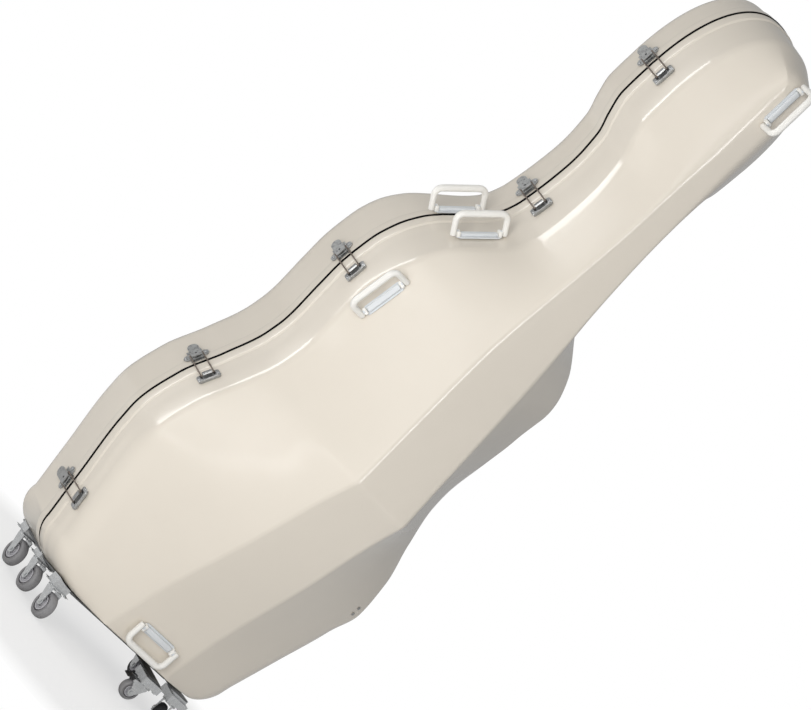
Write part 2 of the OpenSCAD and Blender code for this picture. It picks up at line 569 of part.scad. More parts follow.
// [seat, lean of the grip at rest]
HANDLES = [
    [side_seat(shoulder_back_z, lip_d / 2 + 1, lip, strip_l), 0],
    [side_seat(shoulder_lid_z, shoulder_lid_y, -draw_in * 0.52, strip_l), 0],
    [face_seat(side_grip_z, side_face_share, side_lift), -36],
    [ridge_seat(head_grip_z, ridge_lift, true), 0],
    [ridge_seat(foot_grip_z, ridge_lift, false), 80]];
module at_handle(k) placed() in_frame(HANDLES[k - 1][0]) children();
module handle_strip(k) color("#BFC8D2") at_handle(k) {
    translate([-strip_l / 2 + strip_w / 2, -strip_w / 2, 0]) cube([strip_l - strip_w, strip_w, strip_t]);
    for (s = [-1, 1]) {
        translate([s * (strip_l / 2 - strip_w / 2), 0, 0]) cylinder(h = strip_t, r = strip_w / 2);
        translate([s * (strip_l / 2 - ear_t / 2), 0, 0]) {
            translate([-ear_t / 2, -6, 0]) cube([ear_t, 12, pivot_h]);
            rod_x(-ear_t / 2, ear_t / 2, [0, pivot_h], 6);
            rod_x(s > 0 ? 0 : -(grip_l - strip_l) / 2 - 1, s > 0 ? (grip_l - strip_l) / 2 + 1 : 0, [0, pivot_h], handle_pin_r);
        }
        for (x = [18, 38]) translate([s * x, 0, strip_t]) cylinder(h = 1, r = 4);
    }
}
module handle_grip(k) color(WHITE) at_handle(k) translate([0, 0, pivot_h]) rotate([HANDLES[k - 1][1], 0, 0]) {
    r = grip_d / 2;
    tube_r = r - 0.5;
    elbow = 16;
    x = grip_l / 2 - r;
    difference() {
        union() {
            for (s = [-1, 1]) {
                rod_x(s * x - r, s * x + r, [0, 0], r);
                translate([s * x, 0, 2]) cylinder(h = grip_reach - elbow - 2, r = tube_r);
                translate([s * (x - elbow), 0, grip_reach - elbow]) rotate([90, 0, 0])
                    rotate([0, 0, s > 0 ? 0 : 90]) rotate_extrude(angle = 90) translate([elbow, 0]) circle(r = tube_r);
            }
            rod_x(elbow - x, x - elbow, [0, grip_reach], tube_r);
        }
        rod_x(-grip_l, grip_l, [0, 0], handle_pin_r + run_gap);
    }
}

// Hinges on one leaning axis, clear of the sides at both bouts
hinge_step = hinge_l / 3;
module at_hinge(z) placed() translate([hinge_x(z), 0, z]) rotate([0, -hinge_lean, 0]) children();
leaf_t = 2.5;
leaf_lift = 0.3;
// Distance from the axis to a leaf, k knuckles above the middle of the hinge
function leaf_reach(z, k) = (hinge_x(z) - skin_x(z) - lip - fit_gap) * cos(hinge_lean)
    - k * hinge_step * sin(hinge_lean + atan(flank_slope(z)));
module hinge_leaf(z, side) {
    seat = side_seat(z, 0, lip, hinge_l)[0];
    translate([leaf_lift - seat[0], 0, seat[2]]) rotate([0, atan(flank_slope(z)), 0])
        translate([0, side > 0 ? seam / 2 + 1 : -lip_d, -hinge_l / 2]) cube([leaf_t, lip_d - seam / 2 - 1, hinge_l]);
}
module hinge_side(side) color(STEEL) for (z = hinge_heights) {
    placed() hinge_leaf(z, side);
    at_hinge(z) difference() {
        for (k = side > 0 ? [-1, 1] : [0]) translate([0, 0, (k - 0.5) * hinge_step + knuckle_gap]) union() {
            cylinder(h = hinge_step - 2 * knuckle_gap, d = knuckle_d);
            translate([-leaf_reach(z, k) + 1.8, side > 0 ? seam / 2 + 1 : -knuckle_d / 2, 0])
                cube([leaf_reach(z, k) - 1.8, knuckle_d / 2 - seam / 2 - 1, hinge_step - 2 * knuckle_gap]);
        }
        translate([0, 0, -hinge_l]) cylinder(h = 2 * hinge_l, d = hinge_pin_d + 2 * run_gap);
    }
}
module back_hinge_leaves() hinge_side(1);
module lid_hinge_leaves() hinge_side(-1);
module hinge_pins() color("#C9CCD0") for (z = hinge_heights) at_hinge(z) {
    translate([0, 0, -hinge_l / 2]) cylinder(h = hinge_l, d = hinge_pin_d);
    for (s = [-1, 1]) translate([0, 0, s * (hinge_l / 2 + 1)]) cylinder(h = 2, d = knuckle_d - 1, center = true);
}

// What holds the instrument inside the back shell
inside = wall + lining_t + 2 * fit_gap;
module endpin_block() color("#6B4A2E") placed() translate([0, 60, inside]) difference() {
    translate([-60, -40, 0]) cube([120, 80, 45]);
    translate([0, 0, 8]) cylinder(h = 50, r = 18);
}
module pad_band(z0, z1, t) {
    zs = [for (k = [0 : 6]) mix(z0, z1, k / 6)];
    rear = back_d - rear_r - inside - 2;
    for (s = [-1, 1]) translate([0, rear, 0]) rotate([90, 0, 0]) linear_extrude(rear - 12)
        polygon(concat([for (z = zs) [s * (skin_x(z) - inside - 3.5), z]],
                       [for (k = [6 : -1 : 0]) [s * (skin_x(zs[k]) - inside - 3.5 - t), zs[k]]]));
}
module bout_pads() color(PLUSH) placed() {
    pad_band(330, 480, 28);
    pad_band(890, 980, 26);
}
cradle_z = 1395;
cradle_h = 50;
module neck_cradle() color(PLUSH) placed() difference() {
    w = half_width(neck_z) - inside - 6;
    rear = back_depth(cradle_z) - inside - 3;
    translate([0, 0, cradle_z]) linear_extrude(cradle_h) polygon([[-w, 10], [w, 10], [w, rear - rear_r],
        [w - rear_r * 0.9, rear], [rear_r * 0.9 - w, rear], [-w, rear - rear_r]]);
    translate([-34, -1, cradle_z - 1]) cube([68, 50, cradle_h + 2]);
}
module neck_strap() color(BLACK) placed() {
    w = half_width(neck_z) - inside - 6;
    translate([-w, 10 - fit_gap - 2, cradle_z + 5]) cube([2 * w, 2, 40]);
    translate([-12, 10 - fit_gap - 5, cradle_z + 2]) cube([24, 3, 46]);
}
module bridge_pad() color(PLUSH) placed() in_frame(ridge_seat(580, 0, true))
    translate([-50, -35, -inside - 24]) cube([100, 70, 20]);
bracket_z = 414;
bracket_face_share = 0.12;
bracket_screw_d = 8;
module lid_bracket() color(STEEL) placed() mirror([1, 0, 0]) in_frame(face_seat(bracket_z, bracket_face_share, 0.4))
    for (x = [-9, 9]) translate([x, 0, 0]) cylinder(h = 2, d = bracket_screw_d);

back_shell();
rim_seal();
back_lining();
base_plate();
castor_plates();
neck_cradle();
neck_strap();
endpin_block();
bout_pads();
latch_plates();
back_hinge_leaves();
hinge_pins();
handle_strip(1);  // shoulder_strip_back
lid_shell();
lid_lining();
bridge_pad();
lid_bracket();
latch_catches();
lid_hinge_leaves();
handle_strip(2);  // shoulder_strip_lid
handle_strip(3);  // side_strip
handle_strip(4);  // head_strip
handle_strip(5);  // foot_strip
latch_lever(1);  // latch_lever_1
latch_lever(2);  // latch_lever_2
latch_lever(3);  // latch_lever_3
latch_lever(4);  // latch_lever_4
latch_lever(5);  // latch_lever_5
latch_bail(1);  // latch_bail_1
latch_bail(2);  // latch_bail_2
latch_bail(3);  // latch_bail_3
latch_bail(4);  // latch_bail_4
latch_bail(5);  // latch_bail_5
handle_grip(1);  // shoulder_grip_back
handle_grip(2);  // shoulder_grip_lid
handle_grip(3);  // side_grip
handle_grip(4);  // head_grip
handle_grip(5);  // foot_grip
castor_fork(1);  // castor_fork_1
castor_fork(2);  // castor_fork_2
castor_fork(3);  // castor_fork_3
castor_fork(4);  // castor_fork_4
castor_fork(5);  // castor_fork_5
castor_fork(6);  // castor_fork_6
castor_hub(1);  // castor_hub_1
castor_hub(2);  // castor_hub_2
castor_hub(3);  // castor_hub_3
castor_hub(4);  // castor_hub_4
castor_hub(5);  // castor_hub_5
castor_hub(6);  // castor_hub_6
castor_tyre(1);  // castor_tyre_1
castor_tyre(2);  // castor_tyre_2
castor_tyre(3);  // castor_tyre_3
castor_tyre(4);  // castor_tyre_4
castor_tyre(5);  // castor_tyre_5
castor_tyre(6);  // castor_tyre_6
brake_pedal();
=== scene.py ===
# %% [markdown]
# A hard case for a double bass stands on its castors. The frame of solid pieces, with its joints, is loaded
# first. This script gives every piece its finish, and models the ones that show most again, because a
# glossy shell needs many more faces for smooth reflections.
# %% Load the frame
import json
import math

import bpy
from mathutils import Matrix, Vector


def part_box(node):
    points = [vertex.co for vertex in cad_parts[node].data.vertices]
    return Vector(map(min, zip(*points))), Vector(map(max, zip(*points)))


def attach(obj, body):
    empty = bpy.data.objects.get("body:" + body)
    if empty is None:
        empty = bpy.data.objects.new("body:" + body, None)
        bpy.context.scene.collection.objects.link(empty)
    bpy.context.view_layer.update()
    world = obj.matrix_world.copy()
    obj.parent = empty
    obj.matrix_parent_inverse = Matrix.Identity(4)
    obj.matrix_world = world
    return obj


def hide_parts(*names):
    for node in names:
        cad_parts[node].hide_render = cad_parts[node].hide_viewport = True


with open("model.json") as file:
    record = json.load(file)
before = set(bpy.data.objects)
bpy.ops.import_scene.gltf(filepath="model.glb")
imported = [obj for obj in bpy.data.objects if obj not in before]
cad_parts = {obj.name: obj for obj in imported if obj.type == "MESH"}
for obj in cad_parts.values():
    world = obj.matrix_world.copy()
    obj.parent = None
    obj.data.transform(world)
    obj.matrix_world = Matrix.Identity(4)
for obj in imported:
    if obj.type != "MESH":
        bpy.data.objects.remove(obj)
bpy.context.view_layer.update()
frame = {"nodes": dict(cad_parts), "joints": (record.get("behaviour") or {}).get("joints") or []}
nodes = frame["nodes"]

# %% [markdown]
# All sizes below are in millimetres. They are counted from the middle of the case's width, from the
# parting line between the shells and from the underside. The base plate shows where that point lies.
# %% Millimetres on the case
MM = 0.001
PLATE_REAR, PLATE_THICK = 143, 4
plate_low, plate_high = (Vector(corner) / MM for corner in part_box("base_plate"))
ORIGIN = Vector(((plate_low.x + plate_high.x) / 2, plate_high.y - PLATE_REAR, plate_low.z + PLATE_THICK))


def place(x, y, z):
    """A point of the case, in millimetres from its centre line, parting line and underside."""
    return (Vector((x, y, z)) + ORIGIN) * MM


print("origin", tuple(round(v, 1) for v in ORIGIN))

# %% [markdown]
# The camera stands twelve metres away at the case's front left and is rolled, so that the tall case
# lies across the picture. A long lens from far away keeps the sides nearly parallel, as in the photograph.
# %% Camera
AZIMUTH, ELEVATION, ROLL = (math.radians(angle) for angle in (-34.95, 5.05, 48.756))
DISTANCE, LENS, SENSOR = 12.0, 244.3, 36
AIM, SHIFT = (8.9, 0, 877.7), (-0.0037, 0.0025)
back_way = Vector((math.sin(AZIMUTH) * math.cos(ELEVATION),
                   -math.cos(AZIMUTH) * math.cos(ELEVATION), math.sin(ELEVATION)))
right_way = Vector((0, 0, 1)).cross(back_way).normalized()
up_way = back_way.cross(right_way)
cam_x = right_way * math.cos(ROLL) + up_way * math.sin(ROLL)
cam_y = up_way * math.cos(ROLL) - right_way * math.sin(ROLL)
cam_data = bpy.data.cameras.new("photo_camera")
cam_data.lens = LENS
cam_data.sensor_width = SENSOR
cam_data.clip_end = 60
cam_data.shift_x, cam_data.shift_y = SHIFT
camera = bpy.data.objects.new("photo_camera", cam_data)
bpy.context.scene.collection.objects.link(camera)
turn = Matrix((cam_x, cam_y, back_way)).transposed().to_4x4()
camera.matrix_world = Matrix.Translation(place(*AIM) + back_way * DISTANCE) @ turn
bpy.context.scene.camera = camera
print("camera at", tuple(round(v, 3) for v in camera.location))

# %% [markdown]
# Shader maths is easier to read as sums than as nodes and links. Wire wraps one output, so that plus, minus,
# times and divide on it add a Math node. Every other node comes from Shader.node, which takes the node's
# type, its settings, and the values or links of its sockets.
# %% Shader helpers


class Shader:
    """The nodes of one material or world."""

    def __init__(self, tree):
        self.tree = tree

    def node(self, kind, settings=None, sockets=None, out=0):
        """Adds a node and returns one of its outputs."""
        node = self.tree.nodes.new("ShaderNode" + kind)
        for name, value in (settings or {}).items():
            setattr(node, name, value)
        self.feed(node, sockets or {})
        return Wire(self, node.outputs[out])

    def feed(self, node, sockets):
        for key, value in sockets.items():
            if isinstance(value, Wire):
                self.tree.links.new(value.socket, node.inputs[key])
            else:
                node.inputs[key].default_value = value

    def noise(self, scale, detail, stretch):
        """Noise on the piece's own coordinates; scale is in lumps per metre."""
        coords = self.node("TexCoord", out="Object")
        mapped = self.node("Mapping", sockets={"Scale": stretch, "Vector": coords})
        return self.node("TexNoise", sockets={"Scale": scale, "Detail": detail, "Vector": mapped}, out="Fac")


class Wire:
    """One output in a shader, which works in sums."""

    def __init__(self, shader, socket):
        self.shader = shader
        self.socket = socket

    def maths(self, operation, first, second):
        return self.shader.node("Math", {"operation": operation}, {0: first, 1: second})

    def __add__(self, other):
        return self.maths("ADD", self, other)

    def __sub__(self, other):
        return self.maths("SUBTRACT", self, other)

    def __rsub__(self, other):
        return self.maths("SUBTRACT", other, self)

    def __mul__(self, other):
        return self.maths("MULTIPLY", self, other)

    def __truediv__(self, other):
        return self.maths("DIVIDE", self, other)

    def limited(self, low, high):
        return self.maths("MINIMUM", self.maths("MAXIMUM", self, low), high)

    __radd__ = __add__
    __rmul__ = __mul__


# %% [markdown]
# No real surface is one flat colour. A finish drifts between two close shades in large soft patches, and a
# fine grain changes its gloss and its relief. The grain follows the piece's own coordinates, so it stays
# on the piece when a joint moves.
# %% A finish with drift and grain
COAT_ROUGH = 0.07


def linear(text):
    """A colour written as RRGGBB, made linear."""
    parts = [int(text[k:k + 2], 16) / 255 for k in (0, 2, 4)]
    return [c / 12.92 if c < 0.04 else ((c + 0.055) / 1.055) ** 2.4 for c in parts] + [1]


def finish_of(name, low, high, rough, spread=0.08, patch=9, grain=900, bump=0.02, metallic=0.0,
              coat=0.0, stretch=(1, 1, 1), sheen=0.0, bump_size=0.0004, shine=0.5):
    """A material whose colour drifts between two shades, with its own grain and gloss."""
    mat = bpy.data.materials.new(name)
    mat.use_nodes = True
    shader = Shader(mat.node_tree)
    drift = shader.noise(patch, 4, stretch)
    fine = shader.noise(grain, 2, stretch)
    colour = shader.node("Mix", {"data_type": "RGBA"}, {0: drift, 6: linear(low), 7: linear(high)}, 2)
    shader.feed(mat.node_tree.nodes["Principled BSDF"], {
        "Base Color": colour,
        "Roughness": (drift - 0.5) * spread + (fine - 0.5) * spread + rough,
        "Normal": shader.node("Bump", sockets={"Strength": bump, "Distance": bump_size, "Height": fine}),
        "Metallic": metallic,
        "Coat Weight": coat,
        "Coat Roughness": COAT_ROUGH,
        "Sheen Weight": sheen,
        "Specular IOR Level": shine,
    })
    return mat


def paint(piece, material, slot=None):
    piece.data.materials.clear()
    piece.data.materials.append(material)
    return piece


print("full white in linear light", linear("FFFFFF"))

# %% [markdown]
# The shells are gelcoat: cream, glossy, with the faint ripple that a moulded skin keeps. The latches are
# dull zinc with bronze wires, the castors bright zinc, the grips smooth white. Each finish is a pair of
# shades on one line, so a colour that looks wrong is easily changed.
# %% Finishes
GELCOAT = finish_of("ivory_gelcoat", "DDD5C8", "E2DACD", 0.2, 0.05, 5, 45, 0.05, coat=0.6, bump_size=0.0006)
ZINC = finish_of("dull_zinc", "8C8D8D", "BDBEBD", 0.32, 0.3, 140, 900, 0.25, metallic=0.75)
BRIGHT_ZINC = finish_of("bright_zinc", "C4C6C8", "DADCDD", 0.25, 0.2, 90, 700, 0.15, metallic=0.8)
BRONZE_WIRE = finish_of("bronze_wire", "6A5E54", "8A8078", 0.34, 0.2, 90, 900, 0.1, metallic=0.7)
# Dark steel for the plate under the shells: painted shade, where the case shades the underside.
STEEL_IN_PAINTED_SHADE = finish_of("steel_in_painted_shade", "5A5B5C", "727374", 0.4, 0.2, 90, 700, 0.15, metallic=0.7)
GRIP_WHITE = finish_of("grip_plastic", "EAE8E2", "F1EFEA", 0.3, 0.08, 30, 500, 0.08)
STRIP_BLUE = finish_of("strip_plastic", "D3D7DA", "DEE1E3", 0.4, 0.08, 30, 500, 0.1)
HUB_GREY = finish_of("hub_nylon", "A9A8AC", "BDBCC0", 0.4, 0.1, 40, 600, 0.1)
# A dark ring set in the gap between tyre and hub: painted shade for that gap.
TYRE_GAP_SHADE = finish_of("tyre_gap_shade", "2C282D", "3A353A", 0.6, 0.1, 70, 900, 0.2)
TYRE_GREY = finish_of("tyre_grey", "7E7D7F", "939293", 0.5, 0.12, 70, 900, 0.25)
TYRE_BLACK = finish_of("tyre_black", "18181A", "262628", 0.55, 0.12, 70, 900, 0.25)
# Black plastic for the pedals; the same black is painted shade in the catch slots and lever holes.
BLACK_PLASTIC_AND_HOLE_SHADE = finish_of("black_plastic_and_hole_shade", "141415", "202022", 0.42, 0.1, 60, 600, 0.15)
GASKET = finish_of("black_gasket", "050404", "0C0A0A", 0.8, 0.1, 50, 500, 0.2, shine=0.15)
PLUSH = finish_of("plush", "3A2428", "513339", 0.95, 0.06, 25, 1400, 0.8, sheen=0.35, bump_size=0.0012)
WEBBING = finish_of("strap_webbing", "16161A", "25252B", 0.85, 0.1, 60, 1500, 0.6)
PLYWOOD = finish_of("plywood", "6A4A30", "8A6545", 0.6, 0.15, 14, 300, 0.3, stretch=(1, 1, 12))
print("finishes", len(bpy.data.materials))

# %% [markdown]
# The pieces of the frame are named after what they are, so a word in the name picks the finish. The first
# word that fits counts. Whatever fits none is hardware of dull zinc.
# %% Finish each piece of the frame
FINISH_BY_WORD = [
    ("lining", PLUSH), ("cradle", PLUSH), ("pad", PLUSH), ("neck_strap", WEBBING),
    ("endpin", PLYWOOD), ("seal", GASKET), ("shell", GELCOAT), ("pins", BRIGHT_ZINC), ("bail", BRONZE_WIRE),
    ("castor_plates", BRIGHT_ZINC), ("pedal", BLACK_PLASTIC_AND_HOLE_SHADE), ("fork", BRIGHT_ZINC), ("hub", HUB_GREY),
    ("grip", GRIP_WHITE), ("strip", STRIP_BLUE),
]


def tyre_finish(k):
    """Castors 1 to 4 roll on grey tyres, 5 and 6 on black ones."""
    return (TYRE_GREY, "tyre_grey") if k < 5 else (TYRE_BLACK, "tyre_black")


for name, piece in nodes.items():
    chosen = next((mat for word, mat in FINISH_BY_WORD if word in name), ZINC)
    if "tyre" in name:
        chosen = tyre_finish(int(name[-1]))[0]
    paint(piece, chosen)
print("finished", len(nodes), "frame pieces")

# %% [markdown]
# The frame's pieces are shaded smooth only where faces meet at a shallow angle, so round parts look
# round and edges stay crisp.
# %% Smooth shading of the frame


def pick(pieces):
    """Selects these objects and nothing else, with the first one active."""
    bpy.ops.object.select_all(action="DESELECT")
    for piece in pieces:
        piece.select_set(True)
    bpy.context.view_layer.objects.active = pieces[0]


def smooth(angle):
    bpy.ops.object.shade_smooth_by_angle(angle=math.radians(angle))


pick(list(nodes.values()))
smooth(32)
print("smoothed", len(nodes), "frame pieces")

# %% [markdown]
# The outline of the case is one smooth curve through a few stations: wide at the lower bout, drawn in at the
# waist, wide again at the upper bout, then the shoulders, the thin neck and the head. The curve is of the
# kind that never swings past its stations, as a plain spline would at the waist.
# %% A curve through stations


def mix(a, b, t):
    return a + (b - a) * t


def clamp(value, low, high):
    return max(low, min(high, value))


def eased(t):
    return t * t * (3 - 2 * t)


def rate(stations, i):
    (z0, v0), (z1, v1) = stations[i], stations[i + 1]
    return (v1 - v0) / (z1 - z0)


def slope(stations, i):
    """The curve's slope at a station: none at a peak or a low, else between the rates beside it."""
    if i == 0:
        return rate(stations, 0)
    if i == len(stations) - 1:
        return rate(stations, i - 1)
    below, above = rate(stations, i - 1), rate(stations, i)
    if below * above <= 0:
        return 0
    down = stations[i][0] - stations[i - 1][0]
    up = stations[i + 1][0] - stations[i][0]
    return 3 * (down + up) / ((2 * up + down) / below + (up + 2 * down) / above)


def curve(stations, z):
    """The size at height z."""
    i = 0
    while i < len(stations) - 2 and z >= stations[i + 1][0]:
        i += 1
    (z0, v0), (z1, v1) = stations[i], stations[i + 1]
    t = clamp((z - z0) / (z1 - z0), 0, 1)
    lean = slope(stations, i) * (1 - t) - slope(stations, i + 1) * t
    return mix(v0, v1, eased(t)) + (z1 - z0) * t * (1 - t) * lean


print("half way up a step of 100", curve([(0, 0), (10, 100), (20, 100)], 5))

# %% [markdown]
# Each station is a height and a half width, the same sizes that the frame was built from. Between two of
# them a few shares say how far the line has come, first along the height and then across. The right corner
# of the foot is fuller than the left one, as in the photograph.
# %% Stations of the outline
CASE_L, CORNER_H, FLAT_HALF, BASE_HALF = 1955, 85, 185, 302
RIGHT_FLAT, RIGHT_CORNER_H, LOW_FLANK_SLOPE = 235, 60, 0.245
LOWER_Z, BRIDGE_Z, WAIST_Z, UPPER_Z, NECK_Z, HEAD_Z, RIDGE_END_Z = 400, 650, 750, 925, 1422, 1700, 1915
HEAD_HALF = 145.5


def between(start, end, shares):
    return [(mix(start[0], end[0], a), mix(start[1], end[1], b)) for a, b in shares]


base, lower, waist = (CORNER_H, BASE_HALF), (LOWER_Z, 371.5), (WAIST_Z, 276)
upper, neck, head = (UPPER_Z, 291), (NECK_Z, 90), (HEAD_Z, HEAD_HALF)
SHOULDERS = [(0.15, 0.025), (0.27, 0.105), (0.37, 0.24), (0.65, 0.89), (0.74, 0.955)]
FLANK = (
    [base] + between(base, lower, [(0.36, 0.4), (0.84, 0.915)])
    + [lower] + between(lower, waist, [(0.29, 0.18), (0.57, 0.6), (0.86, 0.95)])
    + [waist] + between(waist, upper, [(0.57, 0.61)])
    + [upper] + between(upper, neck, SHOULDERS)
    + [neck] + between(neck, head, [(0.33, 0.22), (0.5, 0.6), (0.69, 0.92)]) + [head])
SHOULDER_Z, NECK_FOOT_Z = mix(UPPER_Z, NECK_Z, 0.27), mix(UPPER_Z, NECK_Z, 0.65)
HEAD_FOOT_Z = mix(NECK_Z, HEAD_Z, 0.64)
print("outline stations", len(FLANK), "half width at the shoulders", round(curve(FLANK, SHOULDER_Z), 1))

# %% [markdown]
# The depth of the case has stations too. The ridge of the lid climbs to a kink over the bridge of the
# instrument and falls again toward the head; it has one list below the kink and one above, so the kink stays
# sharp. The band along the seam stands proud of the walls, which draw in a little behind it.
# %% Stations of the depth
FOOT_D, KINK_D, NECK_RIDGE_D, REAR_D = 171, 360, 253, 157
SIDE = [(0, 118), (UPPER_Z, 118), (SHOULDER_Z, 143), (NECK_FOOT_Z, 143), (HEAD_FOOT_Z, 122), (CASE_L, 122)]
foot, kink = (0, FOOT_D), (BRIDGE_Z, KINK_D)
LOW_RIDGE = [foot] + between(foot, kink, [(0.22, 0.14), (0.62, 0.58), (0.89, 0.85)]) + [kink]
HIGH_RIDGE = ([kink] + between(kink, (NECK_Z, NECK_RIDGE_D), [(0.2, 0.24), (0.58, 0.65)])
              + [(1500, NECK_RIDGE_D), (RIDGE_END_Z, 222)])
RIDGE_HALF = ([(0, 106), (BRIDGE_Z, 85)] + between((BRIDGE_Z, 85), (NECK_Z, 38.5), [(0.45, 0.22)])
              + [(1522, 38.5), (RIDGE_END_Z, 45)])
REAR = [(0, REAR_D), (SHOULDER_Z - 20, REAR_D), (NECK_FOOT_Z, 125), (HEAD_FOOT_Z, 116), (CASE_L, 115)]
CREASE_R = [(0, 50), (330, 50), (410, 11), (CASE_L, 11)]
LIP, LIP_D, DRAW_IN, WALL, SEAM = 3.5, 26, 7, 5, 2
END_SOFT, END_DIVE = 30, 5


def ridge_depth(z):
    """Depth of the ridge, which softens a little at its very end, past the head's grip."""
    dive = clamp((z - RIDGE_END_Z) / END_SOFT + 1, 0, 1)
    return curve(LOW_RIDGE if z < BRIDGE_Z else HIGH_RIDGE, z) - END_DIVE * dive ** 2


print("ridge depths", [round(ridge_depth(z)) for z in (0, BRIDGE_Z, NECK_Z, RIDGE_END_Z)])

# %% [markdown]
# The outline becomes a closed loop of points with an outward direction at each. The bottom corners
# are quarter ellipses and the top of the head is a slightly squared ellipse.
# %% Outline loop
CORNER_ARC, HEAD_ARC, SQUARED = 130, 300, 2 / 2.3
FINE_STEP, COARSE_STEP = 9, 18


def edge(corner_h, z):
    """The flank; on the right it runs straight on below its lowest station."""
    return curve(FLANK, z) - (LOW_FLANK_SLOPE * max(0, CORNER_H - z) if corner_h < CORNER_H else 0)


def one_side(step, flat, corner_h):
    """Points (x, z) from the middle of the underside up one side to the top."""
    points = [(flat * k / 4, 0) for k in range(4)]
    turns = round(CORNER_ARC / step)
    for k in range(turns):
        a = math.pi / 2 * k / turns
        z = corner_h * (1 - math.cos(a))
        points.append((flat + (edge(corner_h, z) - flat) * math.sin(a), z))
    count = round((HEAD_Z - corner_h) / step)
    points += [(edge(corner_h, z), z) for z in (mix(corner_h, HEAD_Z, k / count) for k in range(count))]
    around = round(HEAD_ARC / step)
    for k in range(around):
        a = math.pi / 2 * k / around
        points.append((HEAD_HALF * math.cos(a) ** SQUARED, mix(HEAD_Z, CASE_L, math.sin(a) ** SQUARED)))
    return points


def outline(step):
    """The whole loop, up the left side and down the right."""
    left = [(-x, z) for x, z in one_side(step, FLAT_HALF, CORNER_H)]
    right = one_side(step, RIGHT_FLAT, RIGHT_CORNER_H)
    return left + [(0, CASE_L)] + right[:0:-1]


def outward(loop):
    ways = []
    for i in range(len(loop)):
        ahead, behind = loop[(i + 1) % len(loop)], loop[i - 1]
        ways.append(Vector((-(ahead[1] - behind[1]), ahead[0] - behind[0])).normalized())
    return ways


print("outline points", len(outline(FINE_STEP)))

# %% [markdown]
# A shell is a loft: every point of the outline grows a column of points, out over the proud band, down the
# side wall, round the crease, across the sloped face and over the ridge to the middle. A bend is three
# control points and a few steps between them, which gives soft and crisp creases alike.
# %% Bends, the proud band and the raised foot
FOOT_RISE, FOOT_END = 20, 240


def bend(a, c, b, steps):
    """Points from a to b on a curve that is pulled toward c."""
    points = []
    for k in range(steps + 1):
        t = k / steps
        points.append(a.lerp(c, t).lerp(c.lerp(b, t), t))
    return points


def skin_at(p, n):
    """A function for the points beside outline point p: so far out along n, at depth y."""
    def skin(out, y):
        return Vector((p[0] + n[0] * out, y, p[1] + n[1] * out))
    return skin


def band(skin, fade, side):
    """The band along the seam; side is -1 for the lid and 1 for the back."""
    lip = LIP * fade
    shoulder = bend(skin(lip, side * (LIP_D - 1)), skin(lip, side * (LIP_D + 0.8)),
                    skin(lip * 0.5, side * (LIP_D + 2)), 2)
    return [skin(lip - fade, side * SEAM / 2), skin(lip, side * (SEAM / 2 + 1)),
            skin(lip, side * (LIP_D - 1.2))] + shoulder[1:]


def lifted(points):
    """The lid's underside rises toward the front, and the lift fades out above the foot."""
    out = []
    for point in points:
        share = clamp(1 - point.z / FOOT_END, 0, 1) ** 2
        reach = clamp(-point.y / FOOT_D, 0, 1)
        out.append(Vector((point.x, point.y, point.z + FOOT_RISE * reach * share)))
    return out


print("the front of the foot is lifted by", lifted([Vector((0, -FOOT_D, 0))])[0].z)

# %% [markdown]
# The lid's face falls from the ridge to the side wall. Near the foot the crease between face and wall is
# soft, higher up it is crisp. The edge of the ridge is crisp at the kink and grows soft toward the head.
# %% Column of the lid
SOFT_Z, SOFT_SPAN = 1480, 300
MIDDLE_LOW, LID_MIDDLE_HIGH = 60, RIDGE_END_Z - 55


def lid_column(p, n, t, bends):
    """The points over the lid beside outline point p, on a skin that lies t inside the outer one."""
    fade = clamp(p[1] / CORNER_H, 0, 1)
    skin = skin_at(p, n)
    if p[1] < HEAD_Z:
        z_ridge = mix(t, HEAD_Z, p[1] / HEAD_Z)
    else:
        z_ridge = mix(HEAD_Z, RIDGE_END_Z - t, (p[1] - HEAD_Z) / (CASE_L - HEAD_Z))
    half = (curve(RIDGE_HALF, z_ridge) - t * 0.35) * min(1, abs(p[0]) / 60)
    ridge = Vector((math.copysign(half, p[0]), t - ridge_depth(z_ridge), z_ridge))
    z_mid = clamp(z_ridge, MIDDLE_LOW, LID_MIDDLE_HIGH)
    middle = Vector((0, t - ridge_depth(z_mid), z_mid))
    depth, radius = curve(SIDE, p[1]) - t * 0.6, curve(CREASE_R, p[1])
    corner = skin(-DRAW_IN * fade - t, -depth)
    wall_end = skin(-DRAW_IN * fade * 0.8 - t, radius - depth)
    face, reach = (ridge - corner).normalized(), (ridge - corner).length
    face_start = corner + face * min(radius, reach * 0.4)
    soft = eased(clamp((z_ridge - SOFT_Z) / SOFT_SPAN, 0, 1))
    face_end = ridge - face * min(mix(8, 44, soft), reach * 0.3)
    over = middle - ridge
    bevel_end = ridge + over.normalized() * min(mix(8, 24, soft), over.length * 0.5)
    if t:
        rows = [skin(-t, -SEAM / 2)]
    else:
        rows = band(skin, fade, -1)
        rows += [skin(0, -LIP_D - 4.5), skin(-DRAW_IN * fade * 0.2, -46), skin(-DRAW_IN * fade * 0.35, -60)]
    rows += bend(wall_end, corner, face_start, bends)
    rows += [face_start.lerp(face_end, k) for k in (0.25, 0.5, 0.75)]
    rows += bend(face_end, ridge, bevel_end, bends)
    return lifted(rows + [bevel_end.lerp(middle, 0.5), middle])


print("points in a column of the lid", len(lid_column((-300, 500), (-1, 0), 0, 8)))

# %% [markdown]
# The back shell is simpler: the same proud band, a side wall, one rounded crease and a flat rear face.
# %% Column of the back
BACK_MIDDLE_HIGH = CASE_L - 145


